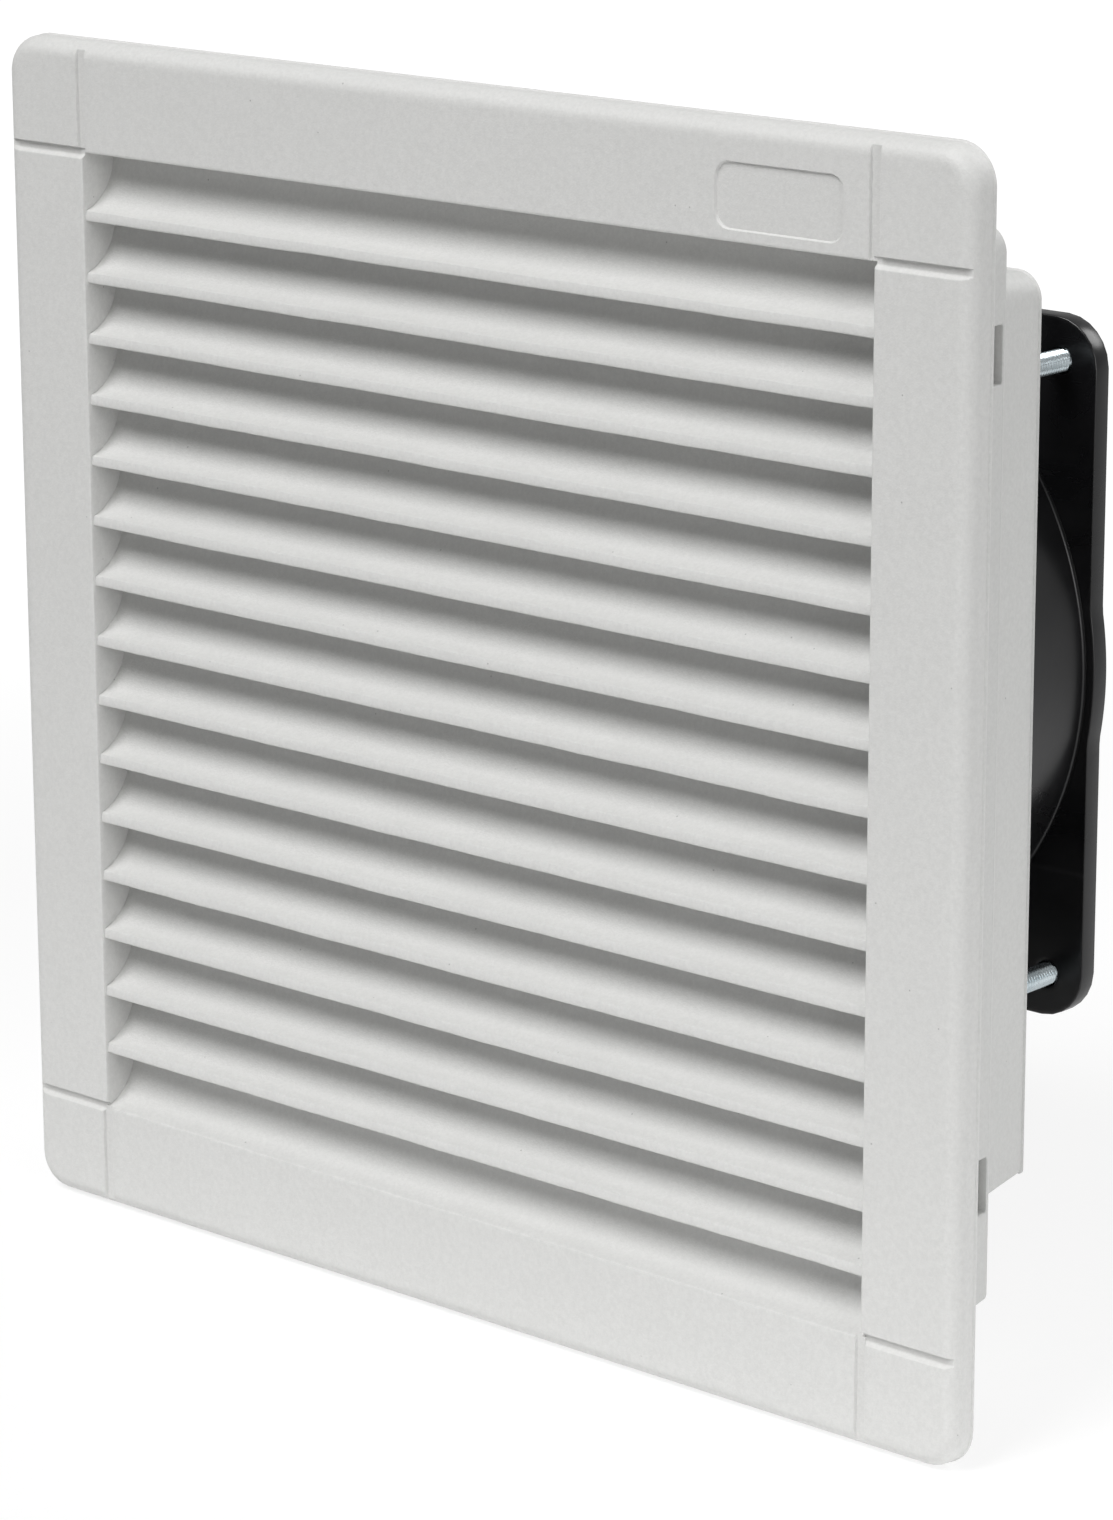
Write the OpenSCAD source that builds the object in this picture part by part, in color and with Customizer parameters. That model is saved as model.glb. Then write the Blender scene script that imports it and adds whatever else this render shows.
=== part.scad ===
// Cabinet fan: a square louvred filter fan that snaps into a cut-out in a cabinet wall.
// +X is to the right seen from the front, +Y points into the cabinet, +Z is up.
// The origin is the centre of the cut-out, on the outer face of the cabinet wall.

/* [Cabinet wall] */
// Side of the square cut-out in the cabinet wall
cutout_w = 177; // [174:0.5:182]
// Gap between the housing and each side of the cut-out
cutout_gap = 0.3; // [0.1:0.1:0.8]
// Thickness of the gasket between frame and wall
gasket_t = 2.6; // [2:0.2:3.2]

/* [Front cover] */
// How far the cover laps over each side of the cut-out
cover_lap = 13.5; // [12.5:0.5:16]
// Depth of the cover's rim
cover_rim = 5; // [4.6:0.1:5.6]
// Wall thickness of the cover
cover_wall = 2.2; // [1.8:0.1:2.4]
// Radius of the rounded front edge
cover_fillet = 3; // [2:0.5:3.5]
// Corner radius of the cover seen from the front
cover_corner = 6.5; // [5:0.5:9]
// Thickness of the wall round the louvre
louvre_wall = 1.25; // [1:0.05:2]
// Width of the shaping grooves across the rails
groove_w = 1.3; // [0.8:0.1:2]
// Depth of the shaping grooves
groove_d = 0.7; // [0.3:0.1:1]
// Width of the bare label recess
label_w = 24.4; // [15:1:30]
// Height of the bare label recess
label_h = 10.1; // [6:0.5:12]
// Distance of the label recess from the opening's side, towards the middle
label_inset = 5.8; // [3:0.5:12]
// Depth of the label recess
label_d = 0.4; // [0.2:0.1:0.8]

/* [Louvre] */
// Number of slats with a lip
slat_count = 15; // [12:1:17]
// Height of a slat's front lip
lip_h = 1.7; // [1.2:0.1:2.4]
// Distance of the lips behind the rails' front face
lip_recess = 0.5; // [0.2:0.1:1.2]
// Open gap above the first lip and below the last
end_gap = 9.8; // [9:0.2:11]
// Radius of the scooped upper face of a slat
scoop_r = 9; // [7.5:0.5:9]
// Thickness of a slat
slat_t = 1.8; // [1.4:0.1:2.2]
// Slope of the scoop where it leaves the lip, in degrees
scoop_slope = 15; // [8:1:25]
// Thickness of the upright ribs behind the slats
rib_t = 1.6; // [1.2:0.2:2.4]

/* [Housing] */
// Wall thickness of the housing
wall = 2.2; // [1.8:0.1:2.6]
// Thickness of the frame flange
flange_t = 2.6; // [2.2:0.1:2.8]
// Gap between cover and frame flange, all round
cover_gap = 0.5; // [0.3:0.1:0.8]
// Depth of the front box behind the wall's outer face
box_depth = 22.6; // [22:0.2:26]
// Depth of the rear box
duct_depth = 24.4; // [20:0.5:30]
// Side of the rear box where it meets the front box
duct_w = 152.8; // [148:1:160]
// Taper of the housing, in mm of side gap per mm of depth
draft = 0.1; // [0.05:0.01:0.12]
// Corner radius of both boxes
box_corner = 6; // [4:0.5:8]
// Chamfer at the rear edge of both boxes
box_chamfer = 1.4; // [0.8:0.2:1.8]

/* [Filter] */
// Thickness of the filter mat
mat_t = 12.6; // [8:0.5:13]
// Gap between the mat and what lies before and behind it
mat_gap = 0.4; // [0.3:0.1:0.6]
// Thickness of the guard grid that carries the mat
grid_t = 2.4; // [2:0.2:2.8]
// Width of a bar of the guard grid
grid_bar = 1.8; // [1.4:0.2:2.4]
// Number of guard grid bars each way
grid_bars = 9; // [7:1:11]

/* [Wall clips] */
// Height of a clip window in the housing's side
window_h = 9; // [8:0.5:11]
// Height of the clip windows' middle above or below the centre
clip_z = 66; // [60:1:70]
// Depth of the pocket that a clip lies in
pocket_d = 6; // [5.6:0.1:6.4]
// Thickest wall that the clips hold
wall_grip = 2.8; // [2.6:0.1:3.4]
// How far a clip's tooth stands out past the cut-out
tooth_out = 2.1; // [1.4:0.1:2.4]
// Radius of a clip's pivot pin
clip_pin_r = 1; // [0.8:0.1:1.2]

/* [Fan] */
// Side of the fan's square flanges
fan_w = 119.5; // [118:0.5:122]
// Depth of the fan over both flanges
fan_depth = 38; // [36:0.5:40]
// Thickness of each flange
fan_flange_t = 3.6; // [3:0.2:4.4]
// Corner radius of the flanges
fan_corner = 8.5; // [6:0.5:9]
// Distance of the mounting holes from the flanges' sides
hole_edge = 7.35; // [6.9:0.05:8]
// Diameter of the fan's mounting holes
hole_d = 4.5; // [4.3:0.1:4.8]
// Distance from the flanges' sides to the fan's round duct
barrel_edge = 3; // [2.5:0.1:4]
// Wall thickness of the fan's duct
barrel_wall = 2.3; // [1.8:0.1:2.4]
// How far the round collar stands out past the flanges' flat sides
collar_out = 1; // [0.5:0.1:1.4]

/* [Rotor] */
// Gap between the blade tips and the duct
tip_gap = 1.5; // [1:0.1:2.5]
// Diameter of the impeller's hub
hub_d = 62; // [60:0.5:66]
// Number of impeller blades
blades = 7; // [5:1:9]
// Thickness of a blade
blade_t = 1.9; // [1.5:0.1:2.4]
// Diameter of the rotor shaft
shaft_d = 6; // [5.6:0.1:6.4]
// Outer diameter of the ball bearings
bearing_d = 16; // [15.6:0.1:17]
// Width of a ball bearing
bearing_w = 5; // [4.6:0.1:5.4]
// Number of balls in a bearing
balls = 8; // [6:1:9]
// Number of teeth on the stator
stator_teeth = 6; // [4:2:8]

/* [Screws and terminals] */
// Diameter of the fan screws
screw_d = 4; // [3.8:0.1:4.1]
// Diameter of the fan screws' pan heads
screw_head_d = 8; // [7.4:0.1:8.4]
// Height of the pan heads
screw_head_h = 2.7; // [2.2:0.1:3]
// Diameter of the screw washers
washer_d = 9; // [8.8:0.1:9.4]
// Thickness of the screw washers
washer_t = 0.8; // [0.6:0.1:1]
// Length of the brass inserts that the fan screws bite into
insert_len = 8; // [6:0.5:9]
// Width of the terminal block
terminal_w = 40; // [34:1:44]
// Depth of the terminal block behind the rear box
terminal_depth = 17; // [15:0.5:20]
// Height of the terminal block
terminal_h = 10.4; // [9.6:0.2:11]
// Number of supply terminals
terminals = 3; // [2:1:3]
// Diameter of a supply wire entry
entry_d = 3.2; // [2.8:0.1:3.6]
// Diameter of a motor lead
lead_d = 2; // [1.6:0.1:2.2]

/* [Hidden] */

$fn = 64;
eps = 0.01;
cut = 1;
cover_w = cutout_w + 2 * cover_lap;
cover_front = -gasket_t - flange_t - cover_gap - cover_wall;
cover_back = cover_front + cover_rim;
frame_front = -gasket_t - flange_t;
scoop_rise = scoop_r * cos(scoop_slope);
scoop_lead = scoop_r * sin(scoop_slope);
scoop_reach = scoop_r - scoop_lead;
louvre_back = cover_front + lip_recess + scoop_reach + slat_t;
box_front_half = cutout_w / 2 - cutout_gap;
box_inner_half = box_front_half - wall;
inner_front = frame_front - cut;
opening = 2 * (box_inner_half - draft * (louvre_back - inner_front) - cover_gap - louvre_wall);
rail_w = (cover_w - opening) / 2;
slat_pitch = (opening - 2 * end_gap - lip_h) / (slat_count - 1);
edge_layers = 8;
tab_w = 12;
tab_len = 5;
tab_t = louvre_wall - draft * tab_len + cover_gap / 2;
label_r = 2.7;
label_drop = 2.3;

box_back = box_depth;
duct_back = box_back + duct_depth;
frame_half = cover_w / 2 - cover_wall - cover_gap;
rear_lip = 1.5;
gasket_in_gap = 0.4;
gasket_edge = 1.5;

grid_rim = 4;
grid_back = box_back - wall;
grid_front = grid_back - grid_t;
mat_back = grid_front - mat_gap;
mat_front = mat_back - mat_t;
pocket_wall = 1.2;
pocket_in = box_front_half - pocket_d;
mat_half = pocket_in - pocket_wall - mat_gap;
mat_corner = 4;

clip_gap = 0.3;
pocket_front = louvre_back + clip_gap;
window_front = wall_grip - 2 * clip_gap;
window_back = box_back - rear_lip;
pin_gap = 0.06;
clip_h = window_h - 2 * clip_gap;
pin_back_gap = 1;
clip_pivot = [pocket_in + clip_pin_r + clip_gap, window_back - clip_pin_r - pin_back_gap];
tooth_len = 3;
tooth_tip_len = 1.4;
tooth_root = 1.2;
bed_depth = 2;
tooth_x = cutout_w / 2 + tooth_out;
pocket_side = 1.7;
pin_floor = 0.6;
pin_end_gap = 0.2;
clip_arm = 4;
clip_neck = 0.4;
pocket_outer_h = window_h + 2 * pocket_side;

fan_front = duct_back;
fan_back = fan_front + fan_depth;
fan_half = fan_w / 2;
collar_r = fan_half + collar_out;
barrel_r = fan_half - barrel_edge;
hole_spacing = fan_w - 2 * hole_edge;
barrel_outer_r = barrel_r + barrel_wall;
motor_base_r = 31;
motor_base_t = 3.4;
label_t = 0.3;
motor_base_y = fan_back - motor_base_t;
strut_w = 6;
strut_t = 3;
struts = 4;
strut_turn = 45;
label_edge = 5;

bearing_ring_t = 1.3;
ball_r = 1.3;
ball_gap = 0.12;
press_r = 0.02;
tube_wall = 1.5;
tube_r = bearing_d / 2 + tube_wall;
tube_set = 12.5;
tube_front = fan_front + tube_set;
preload_t = 0.9;
preload_edge = 0.3;
preload_w = 0.8;
bearing_lip = 0.4;
bearing_seat = bearing_lip + bearing_w + preload_t;
shoulder_t = 1.2;
front_bearing_y = tube_front + bearing_lip;
tube_back_set = 0.6;
clip_room = 0.8;
tube_back = fan_back - tube_back_set;
rear_bearing_y = tube_back - bearing_lip - clip_room - bearing_w;
shaft_r = shaft_d / 2;
shaft_set = 6.8;
shaft_end_gap = 0.4;
shaft_groove_d = 0.3;
shaft_clip_t = 0.7;
shaft_clip_out = 1.1;
shaft_clip_mouth = 1.8;
shaft_clip_y = rear_bearing_y + bearing_w;
motor_set = 0.4;
shaft_front = fan_front + shaft_set;
shaft_back = tube_back - shaft_end_gap;
motor_back = fan_back - motor_set;

cup_r = 26.4;
cup_wall = 1.6;
cup_set = 5.2;
cup_back_gap = 2.4;
cup_hub_len = 6;
cup_hub_wall = 3;
cup_front = fan_front + cup_set;
cup_back = motor_base_y - cup_back_gap;
hub_r = hub_d / 2;
hub_set = 2.6;
hub_hole_gap = 2;
hub_front = fan_front + hub_set;
ring_t = 3;
ring_set = 8.4;
ring_front = cup_front + ring_set;
ring_len = 17;
ring_back = ring_front + ring_len;
air_gap = 0.5;
stator_r = cup_r - cup_wall - ring_t - air_gap;
stator_bore_gap = 0.3;
stator_bore_r = tube_r + stator_bore_gap;
stator_inset = 1;
stator_front = ring_front + stator_inset;
stator_back = ring_back - stator_inset;
stator_yoke = 3.2;
tooth_w = 4.6;
shoe_t = 2;
shoe_gap = 2.4;
coil_t = 3.4;
coil_gap = 0.3;
coil_turn = 2.6;
bobbin_t = 1.2;
tip_r = barrel_r - tip_gap;
blade_set = 2;
blade_back_gap = 4.6;
blade_root = 0.6;
blade_front = hub_front + blade_set;
blade_back = motor_base_y - blade_back_gap;
blade_turn_hub = 44;
blade_turn_tip = 37;
blade_skew = -14;
blade_camber = 4;
blade_thin = 0.12;
blade_edge = 0.35;
blade_bow = 0.06;
blade_spans = 5;
blade_chords = 7;

hole_at = hole_spacing / 2;
boss_r = 5.6;
insert_r = 2.9;
insert_set = 0.6;
boss_floor = 2;
boss_skin = 1;
screw_end_gap = 0.5;
screw_relief = 0.3;
web_t = 2;
insert_back = duct_back - insert_set;
boss_front = insert_back - insert_len - boss_floor;
screw_tip = insert_back - insert_len + screw_end_gap;
washer_y = fan_back;
washer_hole_gap = 0.15;
head_side_share = 0.55;
screw_head_top_r = screw_head_d * 0.34;
recess_w = screw_head_d * 0.55;
recess_d = 1.5;
recess_t = 1;

terminal_gap = 1.2;
terminal_top = -collar_r - terminal_gap;
terminal_bottom = terminal_top - terminal_h;
terminal_back = duct_back + terminal_depth;
terminal_end = 0.2;
terminal_pitch = terminal_w / (terminals + 2 * terminal_end);
clamp_side = 3.4;
clamp_w = terminal_pitch - clamp_side;
clamp_len = 9;
clamp_set = 5;
clamp_y = duct_back + clamp_set;
terminal_wall = 1.6;
clamp_gap = 0.1;
screw_well_gap = 0.3;
entry_share = 0.6;
entry_z = terminal_top - terminal_h * entry_share;
terminal_screw_r = 1.3;
terminal_head_r = 2.4;
terminal_head_h = 1.2;
terminal_screw_set = 0.3;
terminal_screw_end = 0.15;
driver_slot_w = 0.8;
driver_slot_d = 0.6;

lug_from_hole = 12.4;
lug_x = lug_from_hole - hole_at;
lug_pitch = 8;
lug_set = 15;
lug_y = fan_front + lug_set;
lug_base_t = 6;
lug_w = 2.8;
lug_t = 0.8;
lug_len = 10;
lug_out = 1;
lug_slot_gap = 0.1;
lead_gap = 0.8;
lead_end_gap = 0.05;
lead_z = terminal_top - terminal_h / 2;
lead_bend = 4;

function slat_top(k) = opening / 2 - end_gap - k * slat_pitch;

module square_round(w, h, r) {
    square([w - 2 * r, h], center = true);
    square([w, h - 2 * r], center = true);
    for (x = [-1, 1], z = [-1, 1])
        translate([x * (w / 2 - r), z * (h / 2 - r)]) circle(r);
}

// Stands a drawing in X and Z on the plane y0 and makes it t deep, towards +Y.
module upright(y0, t) {
    translate([0, y0 + t, 0]) rotate([90, 0, 0]) linear_extrude(t) children();
}

// Makes a drawing in Y and Z a bar of length len along X.
module along_x(len) {
    translate([-len / 2, 0, 0]) rotate([90, 0, 90]) linear_extrude(len) children();
}

// Turns a drawing of radius and depth round the fan's axis.
module turned() {
    rotate([-90, 0, 0]) rotate_extrude() children();
}

// A straight round bar along +Y.
module rod(y0, y1, r) {
    translate([0, y0, 0]) rotate([-90, 0, 0]) cylinder(r = r, h = y1 - y0);
}

// A round ring along +Y.
module ring(y0, y1, r_out, r_in) {
    difference() {
        rod(y0, y1, r_out);
        rod(y0 - cut, y1 + cut, r_in);
    }
}

module at_holes(spacing) {
    for (x = [-1, 1], z = [-1, 1]) translate([x * spacing / 2, 0, z * spacing / 2]) children();
}

// A square box with round corners that gets narrower towards the back, with a bevelled rear edge.
module drafted_box(y0, y1, half0, r, bevel) {
    half1 = half0 - draft * (y1 - bevel - y0);
    hull() {
        upright(y0, eps) square_round(2 * half0, 2 * half0, r, $fn = 32);
        upright(y1 - bevel - eps, eps) square_round(2 * half1, 2 * half1, r, $fn = 32);
        upright(y1 - eps, eps)
            square_round(2 * (half1 - bevel), 2 * (half1 - bevel), r - bevel + eps, $fn = 32);
    }
}

// Housing
module clip_pocket_solid() {
    depth = pocket_d + pocket_wall;
    translate([box_front_half - depth, pocket_front, -pocket_outer_h / 2])
        cube([depth - wall / 2 - draft * box_back, box_back - wall / 2 - pocket_front, pocket_outer_h]);
}

module clip_pocket_cut() {
    translate([pocket_in, window_front, -window_h / 2])
        cube([pocket_d + cut, window_back - window_front, window_h]);
    translate([clip_pivot[0], clip_pivot[1], pin_floor - pocket_outer_h / 2])
        cylinder(r = clip_pin_r + pin_gap, h = pocket_outer_h - 2 * pin_floor);
}

module at_clips() {
    for (side = [0, 1], z = [-1, 1]) mirror([side, 0, 0]) translate([0, 0, z * clip_z]) children();
}

module housing() {
    duct_half = duct_w / 2;
    color([0.80, 0.81, 0.80]) difference() {
        union() {
            difference() {
                union() {
                    upright(frame_front, flange_t)
                        square_round(2 * frame_half, 2 * frame_half, cover_corner - cover_wall);
                    drafted_box(frame_front, box_back, box_front_half, box_corner, box_chamfer);
                    drafted_box(box_back - wall, duct_back, duct_half, box_corner, box_chamfer);
                }
                drafted_box(inner_front, box_back - wall, box_inner_half, box_corner - wall, eps);
                drafted_box(box_back - wall - cut, duct_back - wall, duct_half - wall, box_corner - wall,
                    eps);
            }
            at_clips() clip_pocket_solid();
            at_holes(hole_spacing) rod(boss_front, duct_back - wall / 2, boss_r);
            for (x = [-1, 1], z = [-1, 1]) boss_web(x, z);
        }
        rod(duct_back - wall - cut, duct_back + cut, barrel_r);
        at_clips() clip_pocket_cut();
        at_holes(hole_spacing) {
            rod(insert_back - insert_len, duct_back + cut, insert_r);
            rod(boss_front + boss_skin, duct_back, screw_d / 2 + screw_relief);
        }
    }
}

// A web that ties a screw boss to the side wall next to it.
module boss_web(x, z) {
    reach = duct_w / 2 - wall / 2 - draft * duct_depth - hole_at;
    mirror([x < 0 ? 1 : 0, 0, 0])
        translate([hole_at + boss_r - web_t / 2, boss_front, z * hole_at - web_t / 2])
            cube([reach - boss_r + web_t / 2, duct_back - wall / 2 - boss_front, web_t]);
}

module panel_gasket() {
    inner = box_front_half + gasket_in_gap;
    outer = frame_half - gasket_edge;
    color([0.16, 0.16, 0.17]) difference() {
        upright(-gasket_t, gasket_t) square_round(2 * outer, 2 * outer, cover_corner - cover_wall);
        upright(-gasket_t - cut, gasket_t + 2 * cut) square_round(2 * inner, 2 * inner, box_corner);
    }
}

// Front cover
module cover_shell() {
    hull() {
        for (i = [0:edge_layers]) {
            a = 90 * i / edge_layers;
            inset = cover_fillet * (1 - sin(a));
            upright(cover_front + cover_fillet * (1 - cos(a)), eps)
                square_round(cover_w - 2 * inset, cover_w - 2 * inset, cover_corner - inset, $fn = 32);
        }
        upright(cover_back - eps, eps) square_round(cover_w, cover_w, cover_corner, $fn = 32);
    }
}

module rail_grooves() {
    far = cover_w / 2 + cut;
    near = opening / 2 - eps;
    y = cover_front - cut;
    for (side = [-1, 1], end = [0, 1]) {
        mirror([0, 0, end]) translate([side * opening / 2 - groove_w / 2, y, near])
            cube([groove_w, cut + groove_d, far - near]);
        mirror([end, 0, 0]) translate([near, y, side * opening / 2 - groove_w / 2])
            cube([cover_w / 2 - cover_fillet - near, cut + groove_d, groove_w]);
    }
}

module slat(top, recess, lip) {
    y = cover_front + recess;
    along_x(opening + louvre_wall) {
        translate([y, top - lip]) square([slat_t, lip]);
        intersection() {
            translate([y - scoop_lead, top + scoop_rise]) difference() {
                circle(scoop_r + slat_t);
                circle(scoop_r);
            }
            translate([y, top - lip]) square([scoop_reach + slat_t, scoop_rise + lip]);
        }
    }
}

module louvre_frame() {
    side = opening / 2;
    difference() {
        upright(cover_front + cover_wall / 2, louvre_back - cover_front - cover_wall / 2)
            square_round(opening + 2 * louvre_wall, opening + 2 * louvre_wall, box_corner - wall);
        upright(cover_front - cut, louvre_back - cover_front + 2 * cut)
            square([opening, opening], center = true);
    }
    for (x = [-1, 0, 1]) translate([x * side / 2 - rib_t / 2, louvre_back - slat_t, -side])
        cube([rib_t, mat_front - mat_gap - louvre_back + slat_t, opening]);
}

module cover_tabs() {
    for (x = [-1, 1], end = [0, 1])
        mirror([0, 0, end]) translate([x * opening / 3 - tab_w / 2, louvre_back - slat_t, opening / 2])
            cube([tab_w, tab_len + slat_t, tab_t]);
}

module front_cover() {
    inner = cover_w - 2 * cover_wall;
    color([0.82, 0.83, 0.82]) {
        difference() {
            cover_shell();
            upright(cover_front + cover_wall, cover_rim)
                square_round(inner, inner, cover_corner - cover_wall);
            upright(cover_front - cut, cover_rim) square([opening, opening], center = true);
            rail_grooves();
            translate([opening / 2 - label_inset - label_w / 2, 0, opening / 2 + rail_w / 2 - label_drop])
                upright(cover_front - cut, cut + label_d) square_round(label_w, label_h, label_r);
        }
        louvre_frame();
        for (k = [0:slat_count - 1]) slat(slat_top(k), lip_recess, lip_h);
        slat(-opening / 2, 0, slat_t);
        cover_tabs();
    }
}

// Filter
module filter_mat() {
    color([0.93, 0.94, 0.95]) upright(mat_front, mat_t)
        square_round(2 * mat_half, 2 * mat_half, mat_corner);
}

module guard_grid() {
    span = 2 * mat_half;
    hole = span - 2 * grid_rim;
    bar_len = span - grid_rim;
    step = bar_len / (grid_bars + 1);
    color([0.78, 0.79, 0.78]) {
        difference() {
            upright(grid_front, grid_t) square_round(span, span, mat_corner);
            upright(grid_front - cut, grid_t + 2 * cut) square([hole, hole], center = true);
        }
        for (i = [1:grid_bars]) {
            at = i * step - bar_len / 2;
            upright(grid_front, grid_t) translate([at, 0]) square([grid_bar, bar_len], center = true);
            upright(grid_front, grid_t) translate([0, at]) square([bar_len, grid_bar], center = true);
        }
    }
}

// Clips that hold the housing in the wall: drawn for the right side, in X and Y.
module clip_outline() {
    p = clip_pivot;
    bed = box_front_half - bed_depth;
    polygon([
        [p[0], p[1] + clip_pin_r],
        [p[0] + clip_pin_r, p[1]],
        [p[0] + clip_pin_r, p[1] - clip_arm],
        [tooth_x, wall_grip + tooth_len],
        [tooth_x, wall_grip + tooth_tip_len],
        [bed + tooth_root, wall_grip],
        [bed, wall_grip],
        [bed, wall_grip + tooth_len + clip_pin_r],
        [p[0] - clip_pin_r * clip_neck, p[1] - clip_arm / 2]
    ]);
}

module clip() {
    pin_h = pocket_outer_h - 2 * (pin_floor + pin_end_gap);
    translate([0, 0, -clip_h / 2]) linear_extrude(clip_h) clip_outline();
    translate([clip_pivot[0], clip_pivot[1], -pin_h / 2]) cylinder(r = clip_pin_r, h = pin_h);
}

module placed_clip(side, end) {
    color([0.76, 0.77, 0.76]) mirror([side < 0 ? 1 : 0, 0, 0]) translate([0, 0, end * clip_z]) clip();
}

module clip_left_upper() {
    placed_clip(-1, 1);
}

module clip_left_lower() {
    placed_clip(-1, -1);
}

module clip_right_upper() {
    placed_clip(1, 1);
}

module clip_right_lower() {
    placed_clip(1, -1);
}

// Fan frame
module fan_flange(y0) {
    upright(y0, fan_flange_t) {
        square_round(fan_w, fan_w, fan_corner);
        circle(collar_r);
    }
}

module fan_frame() {
    color([0.05, 0.05, 0.055]) difference() {
        union() {
            fan_flange(fan_front);
            fan_flange(fan_back - fan_flange_t);
            rod(fan_front + fan_flange_t / 2, fan_back - fan_flange_t / 2, barrel_outer_r);
            lug_base();
        }
        difference() {
            rod(fan_front - cut, fan_back + cut, barrel_r);
            rod(motor_base_y, motor_back, motor_base_r);
            for (i = [0:struts - 1]) rotate([0, 360 * i / struts + strut_turn, 0])
                translate([0, motor_back - strut_t, -strut_w / 2]) cube([barrel_r + cut, strut_t, strut_w]);
        }
        rod(motor_base_y - cut, fan_back + cut, tube_r);
        at_holes(hole_spacing) rod(fan_front - cut, fan_back + cut, hole_d / 2);
        lug_slots();
    }
}

// The block under the duct that the two fan terminals are pressed into.
module lug_base() {
    lug_side = lug_x - lug_pitch;
    base_z = -fan_half + fan_flange_t;
    duct_z = -sqrt(pow(barrel_r, 2) - pow(lug_side, 2));
    translate([lug_side, lug_y - lug_base_t / 2, base_z])
        cube([2 * lug_pitch, lug_base_t, duct_z - base_z + cut]);
}

// Motor
module bearing_tube() {
    seat_r = bearing_d / 2 + press_r;
    color([0.72, 0.60, 0.35]) difference() {
        rod(tube_front, tube_back, tube_r);
        rod(tube_front - cut, fan_back, bearing_d / 2 - shoulder_t);
        rod(tube_front - cut, tube_front + bearing_seat, seat_r);
        rod(rear_bearing_y, fan_back, seat_r);
    }
}

module stator_core() {
    core_r = stator_bore_r + stator_yoke;
    color([0.42, 0.42, 0.44]) difference() {
        upright(stator_front, stator_back - stator_front) {
            circle(core_r);
            for (i = [0:stator_teeth - 1]) rotate(360 * i / stator_teeth)
                translate([0, -tooth_w / 2]) square([stator_r - shoe_t / 2, tooth_w]);
            difference() {
                circle(stator_r);
                circle(stator_r - shoe_t);
                for (i = [0:stator_teeth - 1]) rotate(360 * (i + 0.5) / stator_teeth)
                    translate([0, -shoe_gap / 2]) square([stator_r + cut, shoe_gap]);
            }
        }
        rod(stator_front - cut, stator_back + cut, tube_r);
    }
}

module winding_bobbin() {
    color([0.93, 0.93, 0.88]) for (y = [stator_front - bobbin_t, stator_back]) difference() {
        upright(y, bobbin_t) {
            circle(stator_bore_r + stator_yoke);
            for (i = [0:stator_teeth - 1]) rotate(360 * i / stator_teeth)
                translate([0, -tooth_w / 2]) square([stator_r - shoe_t, tooth_w]);
        }
        rod(y - cut, y + bobbin_t + cut, tube_r);
    }
}

module stator_windings() {
    inner = stator_bore_r + stator_yoke + coil_gap;
    outer = sqrt(pow(stator_r - shoe_t - coil_gap, 2) - pow(tooth_w / 2 + coil_t, 2));
    overhang = bobbin_t + coil_turn;
    color([0.72, 0.36, 0.16]) for (i = [0:stator_teeth - 1]) rotate([0, 360 * i / stator_teeth, 0])
        difference() {
            translate([inner, stator_front - overhang, -tooth_w / 2 - coil_t])
                cube([outer - inner, stator_back - stator_front + 2 * overhang, tooth_w + 2 * coil_t]);
            translate([inner - cut, stator_front - bobbin_t, -tooth_w / 2])
                cube([outer - inner + 2 * cut, stator_back - stator_front + 2 * bobbin_t, tooth_w]);
        }
}

// Ball bearings: a groove runs round both rings, and the balls lie in it.
module ball_groove(y0) {
    mid_r = ball_track_r();
    turned() translate([mid_r, y0 + bearing_w / 2]) circle(ball_r + ball_gap);
}

function ball_track_r() = (shaft_r + bearing_d / 2) / 2;

module bearing_outer(y0) {
    color([0.72, 0.73, 0.75]) difference() {
        ring(y0, y0 + bearing_w, bearing_d / 2, bearing_d / 2 - bearing_ring_t);
        ball_groove(y0);
    }
}

module bearing_inner(y0) {
    color([0.72, 0.73, 0.75]) difference() {
        ring(y0, y0 + bearing_w, shaft_r + bearing_ring_t, shaft_r);
        ball_groove(y0);
    }
}

module bearing_balls(y0) {
    color([0.82, 0.83, 0.85]) for (i = [0:balls - 1]) rotate([0, 360 * i / balls, 0])
        translate([ball_track_r(), y0 + bearing_w / 2, 0]) sphere(ball_r);
}

module front_bearing_outer() {
    bearing_outer(front_bearing_y);
}

module front_bearing_inner() {
    bearing_inner(front_bearing_y);
}

module front_bearing_balls() {
    bearing_balls(front_bearing_y);
}

module rear_bearing_outer() {
    bearing_outer(rear_bearing_y);
}

module rear_bearing_inner() {
    bearing_inner(rear_bearing_y);
}

module rear_bearing_balls() {
    bearing_balls(rear_bearing_y);
}

module preload_washer() {
    y = front_bearing_y + bearing_w;
    washer_r = bearing_d / 2 - preload_edge;
    color([0.70, 0.71, 0.74]) ring(y, tube_front + bearing_seat, washer_r, washer_r - preload_w);
}

// Rotor
module shaft_ring(r_out) {
    ring(shaft_clip_y, shaft_clip_y + shaft_clip_t, r_out, shaft_r - shaft_groove_d);
}

module shaft_clip() {
    color([0.30, 0.31, 0.33]) difference() {
        shaft_ring(shaft_r + shaft_clip_out);
        translate([-shaft_clip_mouth / 2, shaft_clip_y - cut, 0])
            cube([shaft_clip_mouth, shaft_clip_t + 2 * cut, shaft_d]);
    }
}

module rotor_shaft() {
    color([0.75, 0.76, 0.78]) difference() {
        rod(shaft_front, shaft_back, shaft_r);
        shaft_ring(shaft_r + cut);
    }
}

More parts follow.
